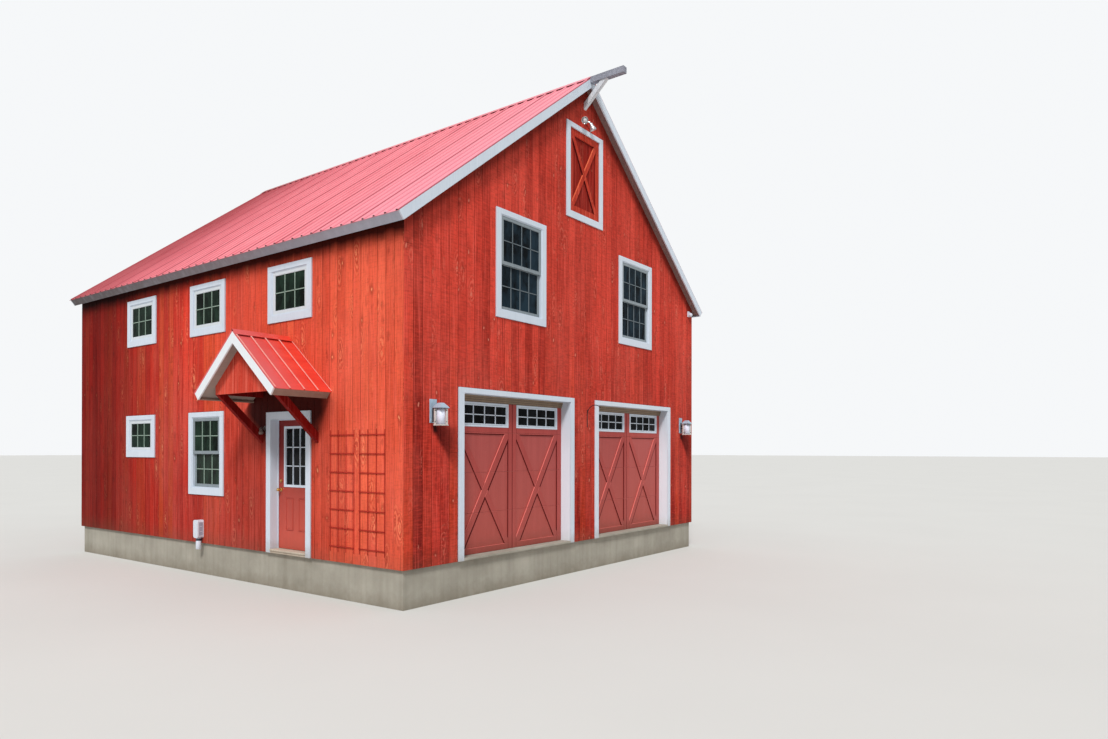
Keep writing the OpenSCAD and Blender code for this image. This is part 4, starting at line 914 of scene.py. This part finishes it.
# The upright siding boards of each wall, cut round its openings
openings = {wall: [cased(*w[:4]) for w in windows] for wall, windows in WINDOWS.items()}
openings["front"] += [cased(*LOFT_DOOR)]
openings["front"] += [doorway(s * GARAGE_X, GARAGE_W, GARAGE_H, SIDE_CASING, GARAGE_HEAD) for s in (-1, 1)]
openings["left"] += [doorway(DOOR_U, DOOR_W, DOOR_H, DOOR_CASING, DOOR_CASING)]
for wall, length, start, finish, seed in (("front", 2 * HALF_W, -HALF_W, RED_FRONT, 5),
                                          ("back", 2 * HALF_W, -HALF_W, RED_BACK, 9),
                                          ("left", BACK_Y - FRONT_Y, 0, RED_LEFT, 13),
                                          ("right", BACK_Y - FRONT_Y, 0, RED_RIGHT, 17)):
    gable, eave, count = start < 0, EAVE_H - 0.008, math.ceil(length / BOARD)
    mesh = grow(BOARD_ROW, Count=count, Spacing=BOARD, Height=GABLE_PEAK if gable else eave, Thickness=BOARD_T,
                Seed=seed, Material=finish)
    mesh.transform(Matrix.Translation((start, 0, 0)))
    past_end = [((start + length, -1, -1), (start + length + 1, 1, 9))] if count * BOARD > length else []
    mesh = cut(mesh, [((u - w / 2, -1, z), (u + w / 2, 1, z + h)) for u, z, w, h in openings[wall]] + past_end)
    if gable:
        side = HALF_W + 0.01
        mesh = cut(mesh, [], [(-side, -0.1), (side, -0.1), (side, eave), (0, GABLE_PEAK), (-side, eave)])
    mesh.transform(WALLS[wall])
    finished(wall + "_siding", gathered([mesh]), [finish])

# The corners, where the boards of two walls meet
corners = bmesh.new()
for s, finish in ((-1, 0), (1, 1)):
    for y, end in ((FRONT_Y, 1), (BACK_Y, -1)):
        add_box(corners, (s * (HALF_W - 0.004), y + end * 0.004, BASE_Z),
                (s * (HALF_W + 0.0056), y - end * 0.0056, BASE_Z + EAVE_H - 0.03), Matrix(), 0.0015, finish)
finished("corner_edges", corners, [RED_LEFT, RED_RIGHT])


def field(x, z, w, h, margin=0.0):
    """The sides, foot and head of a field round its middle, with a margin outside it."""
    return x - w / 2 - margin, x + w / 2 + margin, z - h / 2 - margin, z + h / 2 + margin


def add_ring(shape, matrix, outer, y0, y1, widths, material=0, bevel=0.0015):
    """Four boards inside an outline. widths holds those of the sides, head and foot, or is one for all. Head and foot
    run the full width."""
    x0, x1, z0, z1 = outer
    side, head, foot = widths if isinstance(widths, tuple) else (widths,) * 3
    slit = SLIT / matrix.median_scale
    low, high = z0 + foot + slit, z1 - head - slit
    for start, end in (((x0, y0, z1 - head), (x1, y1, z1)), ((x0, y0, z0), (x1, y1, z0 + foot)),
                       ((x0, y0, low), (x0 + side, y1, high)), ((x1 - side, y0, low), (x1, y1, high))):
        add_box(shape, start, end, matrix, bevel, material)


# Casing boards and linings of the windows, and the loft door's casing
trim = bmesh.new()
fields = [(WALLS[wall], *window[:4]) for wall, windows in WINDOWS.items() for window in windows]
for matrix, u, z, w, h in [(FRONT, *LOFT_DOOR)] + fields:
    outer = (u - w / 2 - SIDE_CASING, u + w / 2 + SIDE_CASING, z - SILL_CASING, z + h + HEAD_CASING)
    add_ring(trim, matrix, outer, -CASING_T, 0, (SIDE_CASING, HEAD_CASING, SILL_CASING))
for matrix, u, z, w, h in fields:
    add_ring(trim, matrix, field(u, z + h / 2, w, h), 0.012 - CASING_T, WALL_T, LINER_T, 0, 0.001)
finished("casing_boards", trim, [WHITE], ["window_casings"])


def sash_frames(u, z, w, h, sashes):
    """The middle of the glass, the depth of the sash's face and the size of the glass, for each sash of a window."""
    z0, z1 = z + LINER_T, z + h - LINER_T
    middle = (z0 + z1) / 2
    spans = [(z0, z1, 0)] if sashes == 1 else [(middle - SASH_W / 2, z1, 0), (z0, middle + SASH_W / 2, SASH_T)]
    return [(u, SASH_Y + back, (low + high) / 2, w - 2 * LINER_T - 2 * SASH_W, high - low - 2 * SASH_W)
            for low, high, back in spans]


def bars(matrix, x, y, z, width, height, columns, rows, bar, finish, depth=0.009):
    """Window bars on both faces of a pane whose middle is at x, y, z in a wall's frame."""
    found = []
    for side in (-1, 1):
        mesh = grow(BAR_GRID, Columns=columns, Rows=rows, Width=width, Height=height, Bar=bar, Depth=depth,
                    Material=finish)
        mesh.transform(moved(matrix, x, y + side * (GLASS_T + depth) / 2, z))
        found.append(mesh)
    return found


# The sashes: stiles and rails with a thin bead round the glass, and the bars
sashes = bmesh.new()
window_bars = {BAR_GREY: [], BAR_GREEN: []}
for wall, windows in WINDOWS.items():
    matrix, gable = WALLS[wall], wall in ("front", "back")
    bar_finish = BAR_GREY if gable else BAR_GREEN
    for *size, across, up in windows:
        finish = 0 if gable or size[4] == 2 else 1
        for x, y, z, w, h in sash_frames(*size):
            add_ring(sashes, matrix, field(x, z, w, h, SASH_W), y, y + SASH_T, SASH_W, finish)
            for face in (y + GLASS_SETBACK - BEAD_T, y + GLASS_SETBACK + GLASS_T):
                add_ring(sashes, matrix, field(x, z, w, h), face, face + BEAD_T, BEAD, finish, 0.001)
            window_bars[bar_finish] += bars(matrix, x, y + GLASS_SETBACK + GLASS_T / 2, z, w, h, across, up, 0.013,
                                            bar_finish)
finished("sash_frames", sashes, [GREY_SASH_AND_SHADE, SASH_WHITE], ["window_sashes"])
finished("gable_window_bars", gathered(window_bars[BAR_GREY]), [BAR_GREY])
finished("side_window_bars", gathered(window_bars[BAR_GREEN]), [BAR_GREEN])


# The garage doors: four hinged sections, framing boards and crossed boards, cut where the sections meet
STILE_W, MIDDLE_W, CROSS_W = 0.125, 0.205, 0.112
GARAGE_SILL, GARAGE_FIELD, GARAGE_RAIL = 0.035, 0.129, 1.886
WIN_Z, WIN_H, WIN_FRAME = 1.992, 0.38, 0.052
PANEL_Y, PANEL_BACK = 0.208, 0.248
# Depths of the strips of painted shadow on the fields of the garage doors and the loft door.
GARAGE_SHADOW_STRIP, LOFT_SHADOW_STRIP = (0.2064, 0.209), (0.0262, 0.0276)
BAY_W = GARAGE_W / 2 - STILE_W - MIDDLE_W / 2
BAY_X = (MIDDLE_W + BAY_W) / 2
SEAMS = (0.662, 1.284, 1.906)
HALF_SEAM = 0.0012


def garage_door(x, side):
    shape = bmesh.new()
    matrix = moved(FRONT, x, 0, 0)
    half, lap = GARAGE_W / 2, GARAGE_W / 2 + 0.04
    boards, slanted = [], []
    for s in (-1, 1):
        left, right = s * BAY_X - BAY_W / 2, s * BAY_X + BAY_W / 2
        boards += [rectangle(*board) for board in (
            (s * half, GARAGE_SILL, s * (half - STILE_W), GARAGE_H),
            (s * 0.004, GARAGE_SILL, s * MIDDLE_W / 2, GARAGE_H),
            (left, GARAGE_SILL, right, GARAGE_FIELD), (left, GARAGE_RAIL, right, WIN_Z),
            (left, WIN_Z + WIN_H, right, GARAGE_H))]
        rising, *halves = crossed_outlines(s * BAY_X, (GARAGE_FIELD + GARAGE_RAIL) / 2, BAY_W,
                                           GARAGE_RAIL - GARAGE_FIELD, CROSS_W)
        boards += halves
        slanted.append(rising)
    for board in boards + slanted:
        for low, high in zip((0.0, *SEAMS), (*SEAMS, GARAGE_H + 1)):
            part = clip(clip(board, (0, low + HALF_SEAM), (0, 1)), (0, high - HALF_SEAM), (0, -1))
            if len(part) > 2:
                prism(shape, part, WALL_T, PANEL_Y, matrix, 0.0025, 1, (2, 3))
                # A painted highlight on upper edges, painted shade on the rest, and a painted shadow strip below it.
                aside = 0.038 if board in slanted else 0.006
                prism(shape, [(a + aside, b - 0.011) for a, b in part], *GARAGE_SHADOW_STRIP, matrix, 0, 3)
    panels = [(-lap, low, lap, high, 0.001) for low, high in
              zip((GARAGE_SILL, *(s + HALF_SEAM for s in SEAMS)), (s - HALF_SEAM for s in SEAMS))]
    panels += [(-lap, SEAMS[-1] + HALF_SEAM, lap, WIN_Z, 0), (-lap, WIN_Z + WIN_H, lap, GARAGE_H + 0.04, 0)]
    panels += [(x0, WIN_Z, x1, WIN_Z + WIN_H, 0) for x0, x1 in (
        (-lap, -BAY_X - BAY_W / 2), (-MIDDLE_W / 2, MIDDLE_W / 2), (BAY_X + BAY_W / 2, lap))]
    for x0, z0, x1, z1, bevel in panels:
        add_box(shape, (x0, PANEL_Y, z0), (x1, PANEL_BACK, z1), matrix, bevel)
    finished(side + "_garage_door_boards", shape, [ROSE, ROSE_BOARD, ROSE_HIGHLIGHT, BOARD_SHADE],
             [side + "_garage_door"])


garage_door(-GARAGE_X, "left")
garage_door(GARAGE_X, "right")

# Each garage window's surround, and the casing boards, jambs, head, weather stop and sill strip of each doorway
surrounds, garage_trim = bmesh.new(), bmesh.new()
garage_bars = []
for x in (-GARAGE_X, GARAGE_X):
    for middle in (x - BAY_X, x + BAY_X):
        window = (middle, WIN_Z + WIN_H / 2, BAY_W, WIN_H)
        # The middle ring's grey is painted shade in the groove between the white rings.
        # Margin inside the window, front, back, width, finish and bevel
        for margin, *ring in ((0, 0.182, PANEL_BACK, 0.03, 0, 0.003), (0.029, 0.2, 0.244, 0.006, 1, 0),
                              (0.034, 0.188, 0.246, WIN_FRAME - 0.034, 0, 0.002)):
            add_ring(surrounds, FRONT, field(*window, -margin), *ring)
        garage_bars += bars(FRONT, middle, PANEL_Y + GLASS_T / 2, WIN_Z + WIN_H / 2, BAY_W - 2 * WIN_FRAME,
                            WIN_H - 2 * WIN_FRAME, 4, 2, 0.015, WHITE, 0.012)
    half, jamb, casing = (GARAGE_W / 2 + reach for reach in (0.0, 0.025, SIDE_CASING))
    matrix = moved(FRONT, x, 0, 0)
    add_boxes(garage_trim, matrix,
              ((-casing, -CASING_T, GARAGE_H), (casing, 0, GARAGE_H + GARAGE_HEAD), 0.0015),
              ((-jamb, HAIR, GARAGE_H), (jamb, WALL_T, GARAGE_H + 0.025), 0.0008),
              ((-half, -CASING_T, 0), (half, WALL_T, GARAGE_SILL), 0.003, 2))
    for s in (-1, 1):
        add_boxes(garage_trim, matrix, ((s * half, -CASING_T, 0), (s * casing, 0, GARAGE_H - SLIT), 0.0015),
                  ((s * half, HAIR, 0), (s * jamb, WALL_T, GARAGE_H), 0.0008, 4))
    for y, back, foot in ((0.15, 0.1618, 0.036), (0.162, 0.1738, 0.068), (0.174, WALL_T, 0.1)):
        low = GARAGE_H - foot
        # A dark strip at the foot of each step is painted shade.
        add_boxes(garage_trim, matrix, ((-half, y, low), (half, back, GARAGE_H - 0.0006), 0.002, 1),
                  ((0.001 - half, y - 0.0006, low + 0.001), (half - 0.001, y + 0.004, low + 0.006), 0, 3))
finished("garage_window_surrounds", surrounds, [WHITE, GREY_SASH_AND_SHADE], ["garage_window_frames"])
finished("garage_door_bars", gathered(garage_bars), [WHITE])
finished("garage_trim", garage_trim, [WHITE, TAN, CONCRETE, STOP_SHADE, JAMB_LIGHT_AND_SHADE], ["garage_door_casings"])

# The loft door: upright boards, a frame and crossed boards, with thin strips of painted shadow where the field meets
# them
loft = bmesh.new()
u, z, w, h = LOFT_DOOR
LOFT_BOARDS, LOFT_STILE, LOFT_RAIL, LOFT_FRAME_T = 9, 0.08, 0.12, 0.028
pitch, inner = w / LOFT_BOARDS, w / 2 - LOFT_STILE
for k in range(LOFT_BOARDS):
    start = k * pitch - w / 2
    add_box(loft, (start + 0.001, LOFT_FRAME_T, z), (start + pitch - 0.001, 0.066, z + h), FRONT, 0.0025, 1)
add_ring(loft, FRONT, field(0, z + h / 2, w, h), 0, LOFT_FRAME_T, (LOFT_STILE, LOFT_RAIL, LOFT_RAIL), 0, 0.002)
for outline in crossed_outlines(0, z + h / 2, 2 * inner, h - 2 * LOFT_RAIL, 0.084):
    # Crossed boards with a painted highlight on upper edges and painted shade on the others.
    prism(loft, outline, 0, LOFT_FRAME_T, FRONT, 0.002, 0, (2, 3))
    prism(loft, [(a + 0.007, b - 0.012) for a, b in outline], *LOFT_SHADOW_STRIP, FRONT, 0, 3)
# Strips of painted shadow under the head rail and inside the stiles.
y0, y1, head = *LOFT_SHADOW_STRIP, z + h - LOFT_RAIL
add_boxes(loft, FRONT, ((-w / 2, 0.058, z), (w / 2, 0.068, z + h), 0, 1),
          ((-inner, y0, head - 0.016), (inner, y1, head), 0, 3),
          *(((s * inner, y0, z + LOFT_RAIL), (s * (inner - 0.012), y1, head), 0, 3) for s in (-1, 1)))
finished("loft_door_boards", loft, [RED_WOOD, RED_FIELD_SHADED, RED_HIGHLIGHT, BOARD_SHADE], ["loft_door"])

# The side door: bars, raised mouldings round its two panels, casing, jambs, stops and sill
door_bars = bars(LEFT, DOOR_U, (DOOR_FACE + DOOR_BACK) / 2, *DOOR_WINDOW, 3, 3, 0.015, WHITE, 0.014)
finished("side_door_bars", gathered(door_bars), [WHITE], body="door")

mouldings, door_trim = bmesh.new(), bmesh.new()
half = DOOR_W / 2
stop = (0.113, 0.128)
for s in (-1, 1):
    panel = (DOOR_U + s * DOOR_PANEL_X, *DOOR_PANEL)
    x0, x1, z0, z1 = field(*panel, -0.026)
    for face in (DOOR_FACE, DOOR_BACK):
        # The raised mouldings take the lighter red of a painted highlight.
        add_ring(mouldings, LEFT, field(*panel), face - 0.007, face + 0.007, 0.014, 1, 0.005)
        add_box(mouldings, (x0, face - 0.005, z0), (x1, face + 0.005, z1), LEFT, 0.004)
    for reach, y0, y1, top in ((DOOR_CASING, -CASING_T, 0, DOOR_H - SLIT), (0.03, HAIR, DOOR_BACK, DOOR_H),
                               (-0.012, *stop, DOOR_H)):
        add_box(door_trim, (s * half, y0, 0), (s * (half + reach), y1, top), moved(LEFT, DOOR_U, 0, 0), 0.001)
add_boxes(door_trim, moved(LEFT, DOOR_U, 0, 0),
          ((-half - DOOR_CASING, -CASING_T, DOOR_H), (half + DOOR_CASING, 0, DOOR_H + DOOR_CASING), 0.0015),
          ((-half - 0.03, HAIR, DOOR_H), (half + 0.03, DOOR_BACK, DOOR_H + 0.03), 0.0008),
          ((0.012 - half, stop[0], DOOR_H - 0.012), (half - 0.012, stop[1], DOOR_H), 0.001),
          ((-half, 0, 0), (half, DOOR_BACK, 0.058), 0.002, 1),
          ((-half, -CASING_T - 0.012, 0.034), (half, 0.11, 0.06), 0.004, 1),
          ((-half, -CASING_T + 0.004, 0), (half, 0, 0.033), 0.002, 1))
finished("side_door_mouldings", mouldings, [DOOR_ROSE, DOOR_HIGHLIGHT], body="door")
finished("side_door_trim", door_trim, [WHITE, SILL], ["side_door_casing"])

# The hood's rake and eave boards, and a pale strip of painted highlight on each seam
hood_trim, seams = bmesh.new(), bmesh.new()
hood_cos, hood_sin = math.cos(HOOD_PITCH), math.sin(HOOD_PITCH)
seam_pitch = (HOOD_REACH - 0.014) / 4
ends = [(HOOD_SLOPE_L * hood_cos + n * hood_sin, n * hood_cos - HOOD_SLOPE_L * hood_sin) for n in (-HOOD_BOARD_H, 0)]
outline = [(0, -HOOD_BOARD_H / hood_cos), *ends, (0, 0)]
for m in (1, -1):
    flip = moved(LEFT, DOOR_U, 0, HOOD_H) @ Matrix.Diagonal((m, 1, 1, 1))
    slope = flip @ Matrix.Rotation(HOOD_PITCH, 4, "Y")
    prism(hood_trim, outline, -HOOD_REACH, HOOD_BOARD_T - HOOD_REACH, flip, 0.0015)
    add_box(hood_trim, (HOOD_SLOPE_L - HOOD_BOARD_T, HOOD_BOARD_T + HAIR - HOOD_REACH, -HOOD_BOARD_H),
            (HOOD_SLOPE_L, 0, 0), slope, 0.0015, 1)
    for k in range(5):
        y = -HOOD_REACH + k * seam_pitch
        add_box(seams, (0.03, y - 0.004 if k else y + 0.001, 0.0255),
                (HOOD_SLOPE_L + 0.0195, y + (0.019 if k < 4 else 0.013), 0.028), slope, 0.0006)
finished("hood_edge_boards", hood_trim, [SUNLIT_WHITE, HOOD_EAVE], ["hood_boards"])
finished("hood_seam_covers", seams, [SEAM_HIGHLIGHT])

# The lanterns beside the garage doors: back plate, arm, round glass between two posts, and a stepped cap
lanterns = bmesh.new()
for s in (-1, 1):
    matrix = fitting(FRONT, s * LANTERN_X, 0, LANTERN_Z)
    body = moved(matrix, 0, -160, 0)
    # The last box, a dark bar between back plate and lantern, is painted shade.
    add_boxes(lanterns, matrix, ((-70, -12, 0), (70, 0, 335), 3), ((-55, -20, 15), (55, -10, 320), 4),
              ((-16, -100, 141), (16, -20, 176), 3, 2), ((-30, -46, 10), (-14, -18, 225), 2, 2))
    rod(lanterns, [(0, -12, 100), (0, -45, 100), (0, -75, 125), (0, -98, 158)], 10, matrix, 2)
    # The dark band just under the cap is painted shade.
    add_boxes(lanterns, body, ((-76, -76, -39), (76, 76, -31), 2, 4), ((-74, -74, 198.5), (74, 74, 204.5), 0, 3),
              ((-86, -86, 204), (86, 86, 215), 3))
    for low, high, z0, z1, finish in ((76, 70, -31, -25, 4), (83, 60, 215, 244, 0), (60, 30, 244, 278, 0)):
        frustum(lanterns, low, high, z0, z1, body, finish)
    for radius, z0, z1, finish in ((57, -26, 201, 1), (58.2, -20, -17, 3), (58.2, 184, 187, 3)):
        turned_form(lanterns, [(0, z0), (radius, z0), (radius, z1), (0, z1)], body, finish, 40)
    for end in (-1, 1):
        add_boxes(lanterns, moved(body, end * 56, -end * 56, 0), ((-14, -14, -26), (14, 14, 201), 2, 4),
                  *(((-14.8, -14.8, z), (-2, -2, z + 12), 1, 2) for z in (6, 166)))
    turned_form(lanterns, [(0, -52), (6, -50), (10, -43), (7, -38), (12, -34), (0, -33)], body, 2, 12)
finished("lanterns", lanterns, [LAMP, FROSTED, IRON_AND_SHADE, LAMP_FRAME_AND_SHADE, LAMP_POST], ["garage_lanterns"])

# The twin floodlights under the peak: disc, two arms, and hollow bells with lenses
floods = bmesh.new()
matrix = fitting(FRONT, 0, 0, GABLE_PEAK - FLOOD_DROP)
turned_form(floods, [(0, 0), (55, 0), (55, 20), (46, 30), (0, 30)], spun(matrix, 90, "X"))
for s, tilt in ((-1, 14), (1, 52)):
    arm = spun(spun(moved(matrix, 0, -15, 0), s * 58 - 90, "Z"), 104, "Y")
    head = spun(moved(arm, 0, 0, 110), tilt, "Y")
    turned_form(floods, [(0, 0), (14, 0), (14, 86), (20, 92), (20, 106), (0, 110)], arm, 0, 16)
    turned_form(floods, [(0, 0), (24, 2), (32, 10), (32, 48), (36, 55), (46, 74), (56, 100), (61, 124), (61, 130),
                         (56, 130), (52, 112), (0, 112)], head, 0, 32)
    turned_form(floods, [(0, 113), (50, 113), (44, 119), (26, 124), (0, 126)], head, 0, 32)
    turned_form(floods, [(0, 118), (30, 118), (27, 127), (16, 134), (0, 137)], head, 1, 24)
finished("floodlight_heads", floods, [SILVER, LENS], ["floodlights"])

# The porch lamp: wall disc, curved arm, fitter and glass jar
porch = bmesh.new()
matrix = fitting(LEFT, PORCH_LAMP_U, 0, PORCH_LAMP_Z)
jar = moved(matrix, 0, -80, 0)
turned_form(porch, [(0, 0), (42, 0), (42, 6), (34, 14), (12, 16), (0, 16)], spun(moved(matrix, 0, 0, 40), 90, "X"))
rod(porch, [(0, -10, 40), (0, -30, 46), (0, -55, 56), (0, -74, 54), (0, -80, 45)], 8, matrix)
turned_form(porch, [(0, 52), (12, 52), (16, 40), (26, 34), (29, 12), (24, 8), (0, 8)], jar)
turned_form(porch, [(0, 10), (22, 10), (24, 0), (34, -12), (38, -28), (36, -46), (26, -58), (0, -63)], jar, 1)
finished("porch_lamp_jar", porch, [PORCH_METAL_SHADED, PORCH_GLASS_SHADED], ["porch_lamp"])


def rounded_outline(half_w, low, high, radius):
    """A rectangle in x and z with round corners."""
    side = half_w - radius
    low, high = low + radius, high - radius
    centres = ((side, low, -90), (side, high, 0), (-side, high, 90), (-side, low, 180))
    return [(x + radius * math.cos(math.radians(start + turn)), z + radius * math.sin(math.radians(start + turn)))
            for x, z, start in centres for turn in range(0, 91, 18)]


# The utility box: a rounded case with a lid, a grey panel on its near side, and a pipe stub with a strap
case = bmesh.new()
matrix = fitting(LEFT, UTILITY_U, 0, UTILITY_Z)
prism(case, rounded_outline(72, 3, 307, 28), -98, -1, matrix)
for y0, y1, bevel in ((-115, -99, 4), (-12, 0, 2)):
    prism(case, rounded_outline(75, 0, 310, 30), y0, y1, matrix, bevel)
side = spun(moved(matrix, -72, -55, 155), 90, "Z")
add_ring(case, side, field(0, 0, 84, 244), -1, 3, 8, 0, 1)
add_boxes(case, side, ((-34, -1, -114), (34, 2, 114), 0.8, 1),
          *(((-22, 1.5, z - 4), (22, 3, z + 4), 0.6) for z in (-45, 45)))
foot = moved(matrix, 0, -57.5, 0)
turned_form(case, [(0, -200), (41, -200), (45, -196), (45, -60), (42, -56), (42, 2), (0, 2)], foot)
turned_form(case, [(0, -16), (42.5, -16), (45, -18), (45, -50), (42.5, -52), (0, -52)], foot, 2)
finished("utility_case", case, [PLASTIC, GREY_PLASTIC, DARK], ["utility_box"])

# Screw heads in the flats of the roof sheet, beside the ribs
rows = int((ROOF_Y1 - ROOF_Y0 - 0.05) / RIB_PITCH)
length, width = SLOPE_L - 0.5, (rows - 1) * RIB_PITCH
below_ridge, beside_rib, lift = 0.3, 0.045, 0.007
roof_screws = []
for m in (-1, 1):
    mesh = grow(SCREW_ROWS, Across=8, Down=rows, Width=length, Length=width, Material=ROOF)
    slope = Matrix.Diagonal((m, 1, 1, 1)) @ Matrix.Translation((0, 0, PEAK_Z)) @ Matrix.Rotation(PITCH, 4, "Y")
    mesh.transform(moved(slope, below_ridge + length / 2, RIB_START + beside_rib + width / 2, lift))
    roof_screws.append(mesh)
finished("roof_screws", gathered(roof_screws), [ROOF])


# Floor, light and camera

shape = bmesh.new()
bmesh.ops.create_grid(shape, x_segments=1, y_segments=1, size=300)
mesh = bpy.data.meshes.new("floor")
shape.to_mesh(mesh)
shape.free()
floor_finish, shader, place = new_material("pale floor")
pale = mix(noise(place, 0.3), (210, 209, 205), (216, 215, 211))
floor_finish.node_tree.links.new(pale, shader.inputs["Base Color"])
shader.inputs["Roughness"].default_value = 0.9
mesh.materials.append(floor_finish)
floor = bpy.data.objects.new("floor", mesh)
floor.location.z = -0.001
scene.collection.objects.link(floor)

world = bpy.data.worlds.new("soft sky")
scene.world = world
world.use_nodes = True
sky = world.node_tree.nodes
ray = sky.new("ShaderNodeLightPath").outputs
seen = maths("MAXIMUM", ray["Is Camera Ray"], ray["Is Transmission Ray"])
overcast = ramp(axes(sky.new("ShaderNodeTexCoord").outputs["Object"])[2], 0, 1.0, 0.28, 0.8)
background = sky["Background"].inputs
world.node_tree.links.new(add(mul(seen, 0.95), mul(sub(1.0, seen), overcast)), background["Strength"])
background["Color"].default_value = (0.97, 0.985, 1.0, 1.0)

sun_data = bpy.data.lights.new("soft sun", "SUN")
sun_data.energy = 2.3
sun_data.angle = math.radians(12)
sun = bpy.data.objects.new("soft sun", sun_data)
sun.rotation_euler = Vector((0.69, 0.44, -0.86)).to_track_quat("-Z", "Y").to_euler()
scene.collection.objects.link(sun)

camera_data = bpy.data.cameras.new("camera")
camera_data.sensor_width = 36.0
camera_data.lens = 24.46
camera_data.shift_y = 0.0711
camera_data.clip_end = 1000
camera = bpy.data.objects.new("camera", camera_data)
yaw, tilt, roll = 53.596, 0.127, 0.09
level = spun(Matrix.Translation((-11.304, -7.796, 2.185)), -yaw, "Z")
camera.matrix_world = spun(spun(level, 90 + tilt, "X"), roll, "Z")
scene.collection.objects.link(camera)
scene.camera = camera

scene.view_settings.view_transform = "Standard"

bpy.context.view_layer.update()
